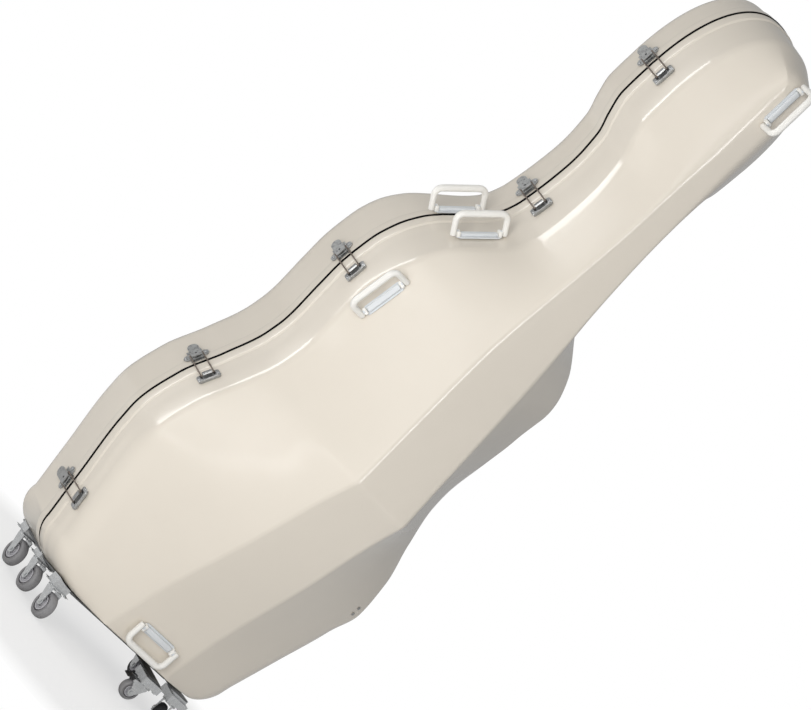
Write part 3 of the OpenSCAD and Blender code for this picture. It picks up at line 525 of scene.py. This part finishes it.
def back_column(p, n, t, bends):
    """The points over the back, as for the lid."""
    fade = clamp(p[1] / CORNER_H, 0, 1)
    skin = skin_at(p, n)
    depth, radius = curve(REAR, p[1]) - t, mix(13, 40, fade)
    start = skin(-DRAW_IN * 0.4 * fade - t, depth - radius)
    corner = skin(-DRAW_IN * 0.5 * fade - t, depth)
    end = skin(-DRAW_IN * 0.5 * fade - t - radius, depth)
    z_mid = clamp(p[1], MIDDLE_LOW, BACK_MIDDLE_HIGH)
    middle = Vector((0, curve(REAR, z_mid) - t, z_mid))
    rows = [skin(-t, SEAM / 2)] if t else band(skin, fade, 1) + [skin(0, LIP_D + 4.5)]
    return rows + bend(start, corner, end, bends) + [end.lerp(middle, 0.4), middle]


print("points in a column of the back", len(back_column((-300, 500), (-1, 0), 0, 8)))

# %% [markdown]
# A grid primitive gives the faces, with one strip for each outline point. Its points are then set on
# the loft, and doubled points along the middle are merged.
# %% Meshes from grids


def grid_from(columns, name):
    """A grid primitive bent onto columns of points; the last column meets the first."""
    count, rows = len(columns), len(columns[0])
    bpy.ops.mesh.primitive_grid_add(x_subdivisions=count, y_subdivisions=rows - 1, size=1)
    piece = bpy.context.object
    piece.name = name
    for vertex in piece.data.vertices:
        row, col = divmod(vertex.index, count + 1)
        vertex.co = (columns[col % count][row] + ORIGIN) * MM
    return piece


def joined(parts, name):
    """Several objects as one, with its origin at the world's."""
    pick(parts)
    if len(parts) > 1:
        bpy.ops.object.join()
    bpy.ops.object.transform_apply(location=True, rotation=True, scale=True)
    parts[0].name = name
    return parts[0]


def reworked(step, **settings):
    """Runs one mesh operator on all of the active object."""
    bpy.ops.object.mode_set(mode="EDIT")
    bpy.ops.mesh.select_all(action="SELECT")
    step(**settings)
    bpy.ops.object.mode_set(mode="OBJECT")


def cleaned(piece, gap=0.00002, angle=35, closed=False):
    """Merges doubled points, closes open ends and turns all faces outward; a closed shape loses slivers."""
    pick([piece])
    reworked(bpy.ops.mesh.remove_doubles, threshold=gap)
    if closed:
        reworked(bpy.ops.mesh.dissolve_degenerate, threshold=0.00001)
    else:
        reworked(bpy.ops.mesh.fill_holes, sides=200)
    reworked(bpy.ops.mesh.normals_make_consistent, inside=False)
    smooth(angle)
    return piece


# %% [markdown]
# A real shell is laid up in a mould and has a wall of a few millimetres, which shows at the rim when the lid
# stands open. So each tray is closed: an outer skin, an inner skin, and a narrow grid that closes the rim.
# The plush lining is the same loft further in, with fewer faces, since cloth shows no reflections.
# %% The two shells and their linings
INNER_BENDS = 4


def moulded(name, column, t_out, t_in, step, bends):
    loop = outline(step)
    ways = outward(loop)
    outer = [column(p, n, t_out, bends) for p, n in zip(loop, ways)]
    inner = [column(p, n, t_in, INNER_BENDS) for p, n in zip(loop, ways)]
    rim = [[a[0], b[0]] for a, b in zip(outer, inner)]
    parts = [grid_from(columns, name) for columns in (outer, inner, rim)]
    return cleaned(joined(parts, name), 0.00005, 28, closed=True)


for kind, sizes, finish, node, slot in (
    ("_gelcoat", (0, WALL, FINE_STEP, 8), GELCOAT, "_shell", "shell"),
    ("_plush", (WALL + 0.3, WALL + 7, COARSE_STEP, INNER_BENDS), PLUSH, "_lining", "plush"),
):
    for body, column in (("lid", lid_column), ("back", back_column)):
        piece = paint(moulded(body + kind, column, *sizes), finish, slot)
        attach(piece, body)
        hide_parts(body + node)
        print(piece.name, "faces", len(piece.data.polygons))

# %% [markdown]
# A black rubber gasket closes the joint. It is a bead with a stem: the stem sits between the shells
# and the bead lies on both rims, which is the dark line that runs round the whole case.
# %% Gasket
GASKET_PROFILE = [(-2.5, -0.8), (2.4, -0.9), (3.3, -3.3), (4.3, -3.2), (5.2, -2),
                  (5.5, 0), (5.2, 2), (4.3, 3.2), (3.3, 3.3), (2.4, 0.9), (-2.5, 0.8)]
UNDER_GAP = 1.2
loop = outline(FINE_STEP)
bead_columns = []
for p, n in zip(loop, outward(loop)):
    fade = clamp(p[1] / CORNER_H, 0, 1)
    skin = skin_at(p, n)
    ring = [skin(out * fade - (1 - fade) * UNDER_GAP, y) for out, y in GASKET_PROFILE]
    bead_columns.append(ring + ring[:1])
gasket = paint(cleaned(grid_from(bead_columns, "gasket"), angle=50), GASKET, "seal")
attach(gasket, "back")
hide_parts("rim_seal")
print("gasket faces", len(gasket.data.polygons))

# %% [markdown]
# Real tyres and hubs are round about an axle, and so they are turned here: a short list of radius and
# offset pairs is the section, and a grid is wrapped round the axle. A dark ring in the joint between
# tyre and hub is painted shade for the gap there.
# %% Turned sections


def turned(name, section, centre, axle, steps=48):
    """A ring whose section is a closed loop of (radius, offset) in millimetres."""
    ahead = axle.orthogonal().normalized()
    cross = axle.cross(ahead)
    columns = []
    for k in range(steps):
        a = math.tau * k / steps
        spoke = ahead * math.cos(a) + cross * math.sin(a)
        ring = [spoke * r + axle * x for r, x in section + section[:1]]
        columns.append([(centre + point * MM) / MM - ORIGIN for point in ring])
    return cleaned(grid_from(columns, name))


def mirrored(section):
    return [(r, -x) for r, x in reversed(section)]


def tyre_section(radius, half):
    """A tyre with a crowned tread, soft shoulders and a groove in each side wall."""
    right = [(radius - 0.4, half * 0.45), (radius - 1.4, half * 0.72), (radius - 4, half * 0.93),
             (radius * 0.84, half), (radius * 0.8, half - 0.3), (radius * 0.79, half - 1.5),
             (radius * 0.765, half - 1.5), (radius * 0.755, half - 0.2), (radius * 0.69, half - 0.5),
             (radius * 0.68, half - 2.5)]
    return [(radius, 0)] + right + mirrored(right)


def gap_shade_section(radius, half):
    """A dark ring of painted shade in the gap between the tyre and its hub."""
    return [(radius * 0.7, half - 1.6), (radius * 0.55, half - 1.8),
            (radius * 0.55, 1.8 - half), (radius * 0.7, 1.6 - half)]


def hub_section(radius, half, bore):
    """A pressed hub: a flat ring, a dish with a raised ring in it, and a boss round the axle."""
    right = [(radius * 0.58, half - 1), (radius * 0.5, half - 0.8), (radius * 0.47, half - 4.8),
             (radius * 0.38, half - 5), (radius * 0.35, half - 2.4), (radius * 0.3, half - 2.4),
             (radius * 0.28, half - 5), (bore + 2.6, half - 5), (bore + 2.2, half - 0.4), (bore, half - 0.4)]
    return right + mirrored(right)


print("points in a tyre's section", len(tyre_section(32, 11)))

# %% [markdown]
# The frame knows where each wheel turns: the joint gives the axle, and its height over the floor is the
# wheel's radius. All three rings ride the wheel's body, so they roll with it.
# %% Wheels
AXLE_BORE = 4.1


def joint_named(name):
    return next(j for j in frame["joints"] if j["name"] == name)


for k in range(1, 7):
    roll = joint_named(f"wheel_{k}_roll")
    centre, axle = Vector(roll["pos_m"]), Vector(roll["axis"]).normalized()
    radius, half = centre.z / MM, 11 if k < 4 else 10
    tyre = turned(f"tyre_{k}", tyre_section(radius, half), centre, axle, 64)
    hub = turned(f"hub_{k}", hub_section(radius, half, AXLE_BORE), centre, axle)
    # The dark ring in the gap between tyre and hub is painted shade.
    line = turned(f"tyre_gap_shade_{k}", gap_shade_section(radius, half), centre, axle, 64)
    paint(tyre, *tyre_finish(k))
    paint(hub, HUB_GREY, "hub")
    paint(line, TYRE_GAP_SHADE, "tyre_black")
    for piece in (line, tyre, hub):
        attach(piece, f"wheel_{k}")
    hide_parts(f"castor_tyre_{k}")
    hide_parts(f"castor_hub_{k}")
print("wheels turned", 6)

# %% [markdown]
# A grip is one thick tube bent twice. Its middle line is a list of points, and a ring of points is carried
# along it, a little thicker in the bar than in the legs. The pins stay in the frame's strips.
# %% The shape of a grip
GRIP_X, GRIP_REACH, ELBOW, ELBOW_STEPS = 59.5, 46, 17, 8


def tube(name, path, radii, around=18):
    """A tube along points in millimetres from the case's origin, with a radius at each."""
    flat = (path[-1] - path[0]).cross(path[len(path) // 2] - path[0]).normalized()
    rings = []
    turns = [math.tau * k / around for k in range(around)]
    for i, point in enumerate(path):
        ahead = (path[min(i + 1, len(path) - 1)] - path[max(i - 1, 0)]).normalized()
        side = ahead.cross(flat)
        rings.append([point + (side * math.cos(a) + flat * math.sin(a)) * radii[i] for a in turns])
    return cleaned(grid_from([[ring[k] for ring in rings] for k in range(around)], name), angle=50)


def grip_shape():
    """Middle line and radii of a grip, from one foot over the bar to the other."""
    leg = [(GRIP_X, -6.5), (GRIP_X, -5.5), (GRIP_X, 0), (GRIP_X, 12), (GRIP_X, GRIP_REACH - ELBOW)]
    radii = [5.2, 6.6, 6.9, 6.7, 7]
    for k in range(1, ELBOW_STEPS + 1):
        a = math.pi / 2 * k / ELBOW_STEPS
        leg.append((GRIP_X - ELBOW + ELBOW * math.cos(a), GRIP_REACH - ELBOW + ELBOW * math.sin(a)))
        radii.append(7 + 0.1 * k)
    leg.append((20, GRIP_REACH))
    radii.append(7.9)
    shape = leg + [(0, GRIP_REACH)] + [(-x, y) for x, y in reversed(leg)]
    return shape, radii + [8] + radii[::-1]


shape, radii = grip_shape()
print("points along a grip", len(shape))

# %% [markdown]
# Each grip is drawn at the place where it rests in the frame: the joint gives the pin, and the middle of
# the frame's own grip tells which way it reaches. It rides the grip's body, so it folds with the joint.
# %% Grips
GRIPS = (
    ("shoulder_strip_back", "shoulder_grip_back", "back"),
    ("shoulder_strip_lid", "shoulder_grip_lid", "lid"),
    ("side_strip", "side_grip", "lid"),
    ("head_strip", "head_grip", "lid"),
    ("foot_strip", "foot_grip", "lid"),
)


def handle_frame(grip):
    """The pin's middle, the way along it and the way the grip reaches, in millimetres."""
    pin = joint_named(grip + "_turn")
    along, centre = Vector(pin["axis"]).normalized(), Vector(pin["pos_m"])
    mesh = nodes[grip].data.vertices
    lean = sum((v.co for v in mesh), Vector()) / len(mesh) - centre
    return centre / MM - ORIGIN, along, (lean - along * lean.dot(along)).normalized()


for strip, grip, body in GRIPS:
    centre, along, reach = handle_frame(grip)
    piece = tube(grip + "_bar", [centre + along * x + reach * y for x, y in shape], radii)
    paint(piece, GRIP_WHITE, "grip")
    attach(piece, grip + "_body")
    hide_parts(grip)
print("grips bent", len(GRIPS))

# %% [markdown]
# Under each grip a soft-edged bar covers the strip's screws, and a housing holds each pin. Both are boxes
# set along three ways: along the pin, across it and out of the shell. The Bevel modifier rounds them and
# is applied, since its rounding is a real shape on a real moulding.
# %% Strip covers and pin housings
HOUSING_X = 48.3


def bevelled(piece, width, segments):
    bevel = piece.modifiers.new("edge", "BEVEL")
    bevel.width = width
    bevel.segments = segments
    bevel.limit_method = "ANGLE"
    bpy.ops.object.modifier_apply(modifier="edge")
    return piece


def block(name, centre, ways, sizes, round_by):
    """A cube primitive set to a size along three ways, with rounded edges."""
    bpy.ops.mesh.primitive_cube_add(size=1)
    piece = bpy.context.object
    piece.name = name
    turn = Matrix(ways).transposed().to_4x4()
    piece.matrix_world = Matrix.Translation(place(*centre)) @ turn @ Matrix.Diagonal(
        Vector(sizes) * MM).to_4x4()
    bpy.ops.object.transform_apply(location=True, rotation=True, scale=True)
    bevelled(piece, round_by * MM, 4)
    smooth(40)
    return piece


def facing(node, away):
    """The way the broadest flat face of a node looks, on the side away from a point."""
    areas = {}
    for polygon in nodes[node].data.polygons:
        key = tuple(abs(round(c, 2)) for c in polygon.normal)
        total, way = areas.get(key, (0, None))
        areas[key] = (total + polygon.area, polygon.normal.copy())
    way = max(areas.values(), key=lambda entry: entry[0])[1]
    low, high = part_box(node)
    return way if way.dot((low + high) / 2 - away) > 0 else -way


covers, housings = {"back": [], "lid": []}, {"back": [], "lid": []}
for strip, grip, body in GRIPS:
    centre, along, reach = handle_frame(grip)
    out = facing(strip, place(0, 0, 900))
    ways = (along, out.cross(along), out)
    covers[body].append(block(strip + "_cover", centre - out * 3.2, ways, (86, 14, 8), 3.6))
    for s in (-1, 1):
        spot = centre + along * s * HOUSING_X - out * 1.4
        housings[body].append(block("housing", spot, ways, (8.6, 17, 13), 2.6))
for body in ("back", "lid"):
    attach(paint(joined(covers[body], body + "_strip_covers"), STRIP_BLUE, "strip"), body)
    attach(paint(joined(housings[body], body + "_pin_housings"), GRIP_WHITE, "grip"), body)
print("covers", len(GRIPS), "housings", 2 * len(GRIPS))

# %% [markdown]
# A latch sits on the side wall, and its joint says where. A small frame of its own gives each latch a seat,
# a way along the case and a way out, so the pieces of all five are placed with the same numbers.
# %% Latch seats and rounded plates
LEVER_ABOVE_SEAT, LEVER_OUT = 12, 5.5


def latch_frame(k):
    """The seat of a latch on the side wall, the way along the case and the way out."""
    pin = joint_named(f"lever_{k}_turn")
    along = Vector(pin["axis"]).normalized()
    out = Vector((-along.z, 0, along.x))
    seat = Vector(pin["pos_m"]) / MM - ORIGIN - Vector((0, LEVER_ABOVE_SEAT, 0)) - out * LEVER_OUT
    return seat, along, out


def on_latch(k, x, y, n):
    seat, along, out = latch_frame(k)
    return seat + along * x + Vector((0, y, 0)) + out * n


def span(low, high, t):
    """A place between low and high for t from -1 to 1."""
    return mix(low, high, (t + 1) / 2)


def rounded_plate(name, k, centre, halves, low, high, power=6):
    """A cylinder primitive with its rim squared, lying on the seat of latch k."""
    bpy.ops.mesh.primitive_cylinder_add(vertices=48, radius=1, depth=2)
    piece = bpy.context.object
    piece.name = name
    for vertex in piece.data.vertices:
        u, v, w = vertex.co
        pull = (abs(u) ** power + abs(v) ** power) ** (-1 / power)
        x, y = centre[0] + halves[0] * u * pull, centre[1] + halves[1] * v * pull
        vertex.co = (on_latch(k, x, y, span(low, high, w)) + ORIGIN) * MM
    bevelled(piece, min(0.7, (high - low) * 0.3) * MM, 3)
    smooth(35)
    return piece


print("seat of latch 1", tuple(round(v, 1) for v in latch_frame(1)[0]))

# %% [markdown]
# A latch catch is a rounded plate with a hook in its middle that curls over the wire. Beside the hook,
# thin black sheets are painted shade in the slots where the sheet was pressed up. Each lever has a black
# disc near its foot, painted shade for its hole.
# %% Latch catches
HOOK = [(-43, -3), (-43.6, 1.5), (-45.5, 4.8), (-49, 6.4), (-55, 6.8), (-58.6, 5.9), (-58.8, 4.7),
        (-55, 4.6), (-53.3, 3.9), (-52.9, 2.5), (-52.9, -3)]
HOOK_HALF, CATCH_Y = 10.5, -57
catches, slot_shades = [], []
for k in range(1, 6):
    catches.append(rounded_plate("catch_plate", k, (0, CATCH_Y), (26, 13), -6.2, -2, 8))
    catches.append(rounded_plate("catch_rim", k, (0, CATCH_Y - 12), (23, 1.2), -6.2, 1.4, 8))
    hook = grid_from([[on_latch(k, x, y, n) for x in (-HOOK_HALF, HOOK_HALF)] for y, n in HOOK], "hook")
    catches.append(cleaned(hook))
    for side in (-1, 1):
        # Thin black sheets on the plate are painted shade in its slots.
        slot_shades.append(rounded_plate("slot", k, (15 * side, CATCH_Y + 5), (2.8, 6.5), -2.4, -1.7))
    # A black disc on the lever is painted shade in its hole.
    hole = rounded_plate(f"lever_hole_shade_{k}", k, (0, 24), (2.6, 2.6), 11.4, 12.15, 2)
    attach(paint(hole, BLACK_PLASTIC_AND_HOLE_SHADE, "black"), f"lever_{k}")
catch_skin = paint(joined(catches, "catch_skin"), ZINC, "steel")
slot_shade_skin = paint(joined(slot_shades, "catch_slot_shades"), BLACK_PLASTIC_AND_HOLE_SHADE, "black")
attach(catch_skin, "lid")
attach(slot_shade_skin, "lid")
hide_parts("latch_catches")
print("catches", 5, "faces", len(catch_skin.data.polygons))

# %% [markdown]
# The underside carries steel: a plate, a tab for the small castor in front, wings that climb the rounded
# corners, arms to the front castors, and bright seats that fill the space between a castor's plate and the
# shell. The fitted ones are cubes cut into small squares, with their tops laid just under the shells. On
# the right front they stay lower, because the lid swings over them.
# %% Pieces that follow the underside


def slab(name, x0, x1, y0, y1, z0, z1):
    centre = ((x0 + x1) / 2, (y0 + y1) / 2, (z0 + z1) / 2)
    return block(name, centre, Matrix.Identity(3), (x1 - x0, y1 - y0, z1 - z0), 0.8)


def corner_rise(x):
    """How far the rounded corner of the shells has risen at x."""
    flat, height, reach = (RIGHT_FLAT, RIGHT_CORNER_H, 50) if x > 0 else (FLAT_HALF, CORNER_H, 117)
    t = clamp((abs(x) - flat) / reach, 0, 1)
    return height * (1 - math.sqrt(1 - t * t))


def roof(x, y):
    """How high the steel may reach under the shells."""
    rise = corner_rise(x)
    lift = lifted([Vector((x, y, rise))])[0].z - rise
    if y > 0:
        return rise - 0.3
    if x > 0:
        return min(rise, 3.5) + lift * 0.55 - 1.6
    return rise + lift - 1.6


def lumps(name, cuts, lay):
    """A cube primitive cut into small squares; a function lays each of its points."""
    bpy.ops.mesh.primitive_cube_add(size=2)
    piece = bpy.context.object
    piece.name = name
    reworked(bpy.ops.mesh.subdivide, number_cuts=cuts)
    for vertex in piece.data.vertices:
        vertex.co = lay(*vertex.co)
    return piece


def fitted(name, x0, x1, y0, y1, thick=None):
    """A piece whose top follows the shells; its bottom is flat or runs along at one thickness."""
    def under(u, v, w):
        x, y = span(x0, x1, u), span(y0, y1, v)
        top = roof(x, y)
        return place(x, y, span(top - thick if thick else -PLATE_THICK, top, w))
    return cleaned(lumps(name, 9, under))


print("roof over the front castors", round(roof(-215, -98), 1), round(roof(215, -96), 1))

# %% [markdown]
# The plate, its wings and its arms are one steel piece on the back shell's body, painted dark as painted
# shade under the shells. The seats stand where the castors are, at all places outside the flat middle of the
# underside.
# %% Base plate and castor seats
CASTOR_X_Y = [(-225, 114), (-222, 8), (-215, -98), (103, -138), (215, -96), (225, 114)]
SEAT_X, SEAT_Y, STEEL = 22, 17, 3.6
base_parts = [slab("base", -186, 186, -60, 141, -PLATE_THICK, -0.3),
              slab("tab_4", 82, 124, -158, -58, -PLATE_THICK, -1)]
for side in (-1, 1):
    base_parts.append(fitted("wing", side * 150, side * 245, 3, 141, STEEL))
    base_parts.append(fitted("arm", side * 178, side * 234, -114, -3, STEEL))
seats = [fitted("castor_seat", x - SEAT_X, x + SEAT_X, y - SEAT_Y, y + SEAT_Y)
         for x, y in CASTOR_X_Y if abs(x) > FLAT_HALF]
# The plate, its wings and its arms take the dark steel, painted shade for the shade under the shells.
base_skin = paint(joined(base_parts, "base_steel"), STEEL_IN_PAINTED_SHADE, "steel")
seat_skin = paint(joined(seats, "castor_seats"), BRIGHT_ZINC, "steel")
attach(base_skin, "back")
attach(seat_skin, "back")
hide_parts("base_plate")
print("castor seats", len(seats))

# %% [markdown]
# The cushions inside hold the instrument. Each is a cube cut into small squares whose corners are drawn
# in, so it is full in the middle and soft at every edge. A function then lays it where it belongs. Two
# pairs of cushions lie along the side walls, at the two bouts.
# %% Cushions at the bouts
INSIDE = WALL + 7.6
REAR_LIMIT = REAR_D - 40 - INSIDE - 2


def cushion(name, lay, cuts=12, power=6):
    def drawn(u, v, w):
        pull = (abs(u) ** power + abs(v) ** power + abs(w) ** power) ** (-1 / power)
        return lay(u * pull, v * pull, w * pull)

    piece = lumps(name, cuts, drawn)
    reworked(bpy.ops.mesh.normals_make_consistent, inside=False)
    bpy.ops.object.shade_smooth()
    return piece


def along_wall(side, z0, z1, thick):
    def lay(u, v, w):
        z = span(z0, z1, u)
        x = curve(FLANK, z) - INSIDE - 3.5 - thick / 2 + w * thick / 2
        return place(side * x, span(12, REAR_LIMIT, v), z)
    return lay


pads = [cushion("bout_cushion", along_wall(side, *sizes), 14)
        for side in (-1, 1) for sizes in ((330, 480, 28), (890, 980, 26))]
bout_cushions = joined(pads, "bout_cushions")
print("bout cushions", len(pads))

# %% [markdown]
# The neck rests between two cheeks on a back cushion, and a pad under the ridge presses on the bridge.
# That pad is laid square to the ridge. All of them are padded pieces: firm, but cloth outside.
# %% Cushions at the neck and the bridge
CRADLE_Z, CRADLE_H, NECK_HALF, BRIDGE_PAD_Z = 1395, 50, 34, 580
cheek = curve(FLANK, NECK_Z) - INSIDE - 6
cradle_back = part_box("neck_cradle")[1].y / MM - ORIGIN.y


def box_lay(x0, x1, y0, y1):
    def lay(u, v, w):
        return place(span(x0, x1, u), span(y0, y1, v), span(CRADLE_Z, CRADLE_Z + CRADLE_H, w))
    return lay


cheeks = [cushion("cradle_cheek", box_lay(*sizes), 12, 7) for sizes in (
    (-cheek, -NECK_HALF, 10, cradle_back - 12), (NECK_HALF, cheek, 10, cradle_back - 12),
    (12 - cheek, cheek - 12, 49, cradle_back))]
cradle_cushion = joined(cheeks, "neck_cushion")
ridge_way = Vector((0, ridge_depth(BRIDGE_PAD_Z - 20) - ridge_depth(BRIDGE_PAD_Z + 20), 40)).normalized()
ridge_out = Vector((0, -ridge_way.z, ridge_way.y))
ridge_spot = Vector((0, -ridge_depth(BRIDGE_PAD_Z), BRIDGE_PAD_Z))


def under_ridge(u, v, w):
    spot = ridge_spot + ridge_way * 50 * u + Vector((35 * v, 0, 0)) + ridge_out * (10 * w - INSIDE - 14)
    return place(*spot)


bridge_cushion = cushion("bridge_cushion", under_ridge)
for piece, body, node in ((bout_cushions, "back", "bout_pads"), (cradle_cushion, "back", "neck_cradle"),
                          (bridge_cushion, "lid", "bridge_pad")):
    paint(piece, PLUSH, "plush")
    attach(piece, body)
    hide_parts(node)
print("cushions", [len(p.data.polygons) for p in (bout_cushions, cradle_cushion, bridge_cushion)])

# %% [markdown]
# The neck strap is flat webbing, bowed a little toward the front, with a thicker patch where it closes.
# Solidify gives the webbing its thickness, and the result is applied.
# %% Neck strap


def webbing(name, half_x, z0, z1, y_of, thick):
    """A strip of webbing from side to side, bowed by a function of x."""
    bpy.ops.mesh.primitive_grid_add(x_subdivisions=28, y_subdivisions=6, size=2)
    piece = bpy.context.object
    piece.name = name
    for vertex in piece.data.vertices:
        u, v = vertex.co.x, vertex.co.y
        vertex.co = place(half_x * u, y_of(half_x * u), span(z0, z1, v))
    modifier = piece.modifiers.new("thickness", "SOLIDIFY")
    modifier.thickness = thick * MM
    modifier.offset = 0
    bpy.ops.object.modifier_apply(modifier="thickness")
    smooth(40)
    return piece


def strap_bow(x):
    return 8.7 - 1.2 * math.cos(math.pi * x / (2 * cheek))


def patch_bow(x):
    return strap_bow(x) - 2.2


strap = joined([webbing("strap", cheek, CRADLE_Z + 5, CRADLE_Z + 45, strap_bow, 1.8),
                webbing("patch", 26, CRADLE_Z + 3, CRADLE_Z + 47, patch_bow, 2.4)], "neck_webbing")
paint(strap, WEBBING, "black")
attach(strap, "back")
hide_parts("neck_strap")
print("strap from side to side", round(2 * cheek), "mm")

# %% [markdown]
# Screws hold the latches and hinges. One pan head with a cross recess is made from a cylinder,
# a bevel and two boxes that are cut out of it. Copies are turned to face out of each plate.
# %% Pan-head screws


def pan_head(radius, height):
    middle = (0, 0, height / 2)
    bpy.ops.mesh.primitive_cylinder_add(vertices=28, radius=radius, depth=height, location=middle)
    head = bevelled(bpy.context.object, height * 0.55, 4)
    for angle in (0, 90):
        bpy.ops.mesh.primitive_cube_add(size=1, location=(0, 0, height))
        cutter = bpy.context.object
        cutter.scale = (radius * 1.15, radius * 0.26, height)
        cutter.rotation_euler.z = math.radians(angle)
        cut = head.modifiers.new("recess", "BOOLEAN")
        cut.operation = "DIFFERENCE"
        cut.object = cutter
        bpy.context.view_layer.objects.active = head
        bpy.ops.object.modifier_apply(modifier="recess")
        bpy.data.objects.remove(cutter)
    pick([head])
    smooth(35)
    return head


def fixings(name, body, spots, radius):
    """Screws at the listed places, each a point and a way out, and each turned differently."""
    heads = []
    master = pan_head(radius * MM, radius * 0.42 * MM)
    for k, (spot, out) in enumerate(spots):
        copy = master.copy()
        copy.data = master.data.copy()
        bpy.context.scene.collection.objects.link(copy)
        turn = out.to_track_quat("Z", "Y").to_matrix().to_4x4() @ Matrix.Rotation(0.7 * k, 4, "Z")
        copy.matrix_world = Matrix.Translation(spot) @ turn
        heads.append(copy)
    bpy.data.objects.remove(master)
    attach(paint(joined(heads, name), BRIGHT_ZINC, "steel"), body)
    print(name, len(heads))


# %% [markdown]
# Each latch has two screws on the back shell and two on its catch, and each hinge has two on either leaf.
# A ray from outside finds where a screw lands on a plate of the frame, so that none floats or sinks. The
# catches were made here, so their screws are set straight on them.
# %% Where the screws go
SCREW_R, HINGE_Z = 3.2, (430, 505, 992)
latch_y, leaf_y = Vector((0, 17, 0)) * MM, Vector((0, 18, 0)) * MM


def landed(node, spot, out):
    """Where a screw that comes from outside meets a node, seen along its way."""
    hit, where = nodes[node].ray_cast(spot + out * 60 * MM, -out)[:2]
    return (where, out) if hit else None


back_spots, lid_spots = [], []
for k in range(1, 6):
    seat, along, out = latch_frame(k)
    pin = Vector(joint_named(f"lever_{k}_turn")["pos_m"])
    for s in (-1, 1):
        back_spots.append(landed("latch_plates", pin + along * s * 23 * MM + latch_y, out))
        lid_spots.append(((on_latch(k, 21 * s, CATCH_Y, -2) + ORIGIN) * MM, out))
hinge = joint_named("lid_hinge")
hinge_way = Vector(hinge["axis"])
for z in HINGE_Z:
    middle = Vector(hinge["pos_m"]) + hinge_way * ((z - HINGE_Z[0]) / hinge_way.z) * MM
    out = Vector((20, 0, curve(FLANK, z - 10) - curve(FLANK, z + 10))).normalized()
    for s in (-17, 17):
        spot = middle + hinge_way * s * MM
        back_spots.append(landed("back_hinge_leaves", spot + leaf_y, out))
        lid_spots.append(landed("lid_hinge_leaves", spot - leaf_y, out))
print("screws that missed", (back_spots + lid_spots).count(None))
fixings("back_screws", "back", [spot for spot in back_spots if spot], SCREW_R)
fixings("lid_screws", "lid", [spot for spot in lid_spots if spot], SCREW_R)

# %% [markdown]
# The case stands on a pale floor in soft light. Near the case the floor is matt and keeps its shadow.
# Further out it turns into the white of the backdrop, so no horizon cuts through the picture. Only the
# camera sees that white; light that bounces off the floor stays soft.
# %% Floor and backdrop
SHADOW_R, FADE_R, LEAST_WHITE = 0.3, 0.5, 0.62
bpy.ops.mesh.primitive_plane_add(size=60, location=(0, 0, 0))
floor = bpy.context.object
floor.name = "floor"
floor_mat = bpy.data.materials.new("pale_floor")
floor_mat.use_nodes = True
shader = Shader(floor_mat.node_tree)
matt = floor_mat.node_tree.nodes["Principled BSDF"]
shader.feed(matt, {"Base Color": (0.9, 0.9, 0.9, 1), "Roughness": 0.95})
coords = shader.node("TexCoord", out="Object")
reach = shader.node("VectorMath", {"operation": "LENGTH"}, {0: coords}, "Value")
seen = shader.node("LightPath", out="Is Camera Ray")
far = ((reach - SHADOW_R) / FADE_R).limited(LEAST_WHITE, 1)
white = shader.node("Emission", sockets={"Strength": 1})
blend = shader.node("MixShader", sockets={0: far * seen, 1: Wire(shader, matt.outputs[0]), 2: white})
shader.feed(floor_mat.node_tree.nodes["Material Output"], {"Surface": blend})
paint(floor, floor_mat)
print("floor nodes", len(floor_mat.node_tree.nodes))

# %% [markdown]
# Gloss shows its surroundings, so the lamps are large and soft. Five of them only light the surfaces and
# leave no reflection. Two long ones do the opposite: they draw the bright lines along the crease and the
# ridge. The camera sees a white world, which lights the case with much less.
# %% Lamps and world
WORLD_LIGHT = 0.38


def lamp(name, spot, width, height, power, aim=(0, 0, 1)):
    data = bpy.data.lights.new(name, "AREA")
    data.shape = "RECTANGLE"
    data.energy = power
    data.size = width
    data.size_y = height
    light = bpy.data.objects.new(name, data)
    bpy.context.scene.collection.objects.link(light)
    light.location = spot
    light.rotation_euler = (Vector(aim) - Vector(spot)).to_track_quat("-Z", "Y").to_euler()
    return light


for settings in (
    ("key", (-3.7, -3.1, 1.5), 2.2, 2.4, 97), ("front", (-0.8, -5.2, 1.6), 2.0, 2.6, 26),
    ("low", (-2.4, -2.5, 0.4), 1.4, 0.8, 15), ("rear", (0.5, 4.0, 3.0), 2.5, 2.5, 30),
    ("side", (-3.2, 3.0, 2.6), 2.5, 2.5, 20),
):
    lamp(*settings).visible_glossy = False
for settings in (
    ("crease_light", (-4.0, 2.3, 1.2), 1.6, 3.4, 85), ("ridge_light", (1.2, -5.9, 1.3), 1.2, 2.6, 60),
):
    lamp(*settings).visible_diffuse = False
world = bpy.data.worlds.new("studio")
bpy.context.scene.world = world
world.use_nodes = True
shader = Shader(world.node_tree)
seen = shader.node("LightPath", out="Is Camera Ray")
shader.feed(world.node_tree.nodes["Background"], {
    "Color": (1, 1, 1, 1), "Strength": seen * (1 - WORLD_LIGHT) + WORLD_LIGHT})
bpy.context.scene.view_settings.view_transform = "Standard"
print("lamps", len(bpy.data.lights))
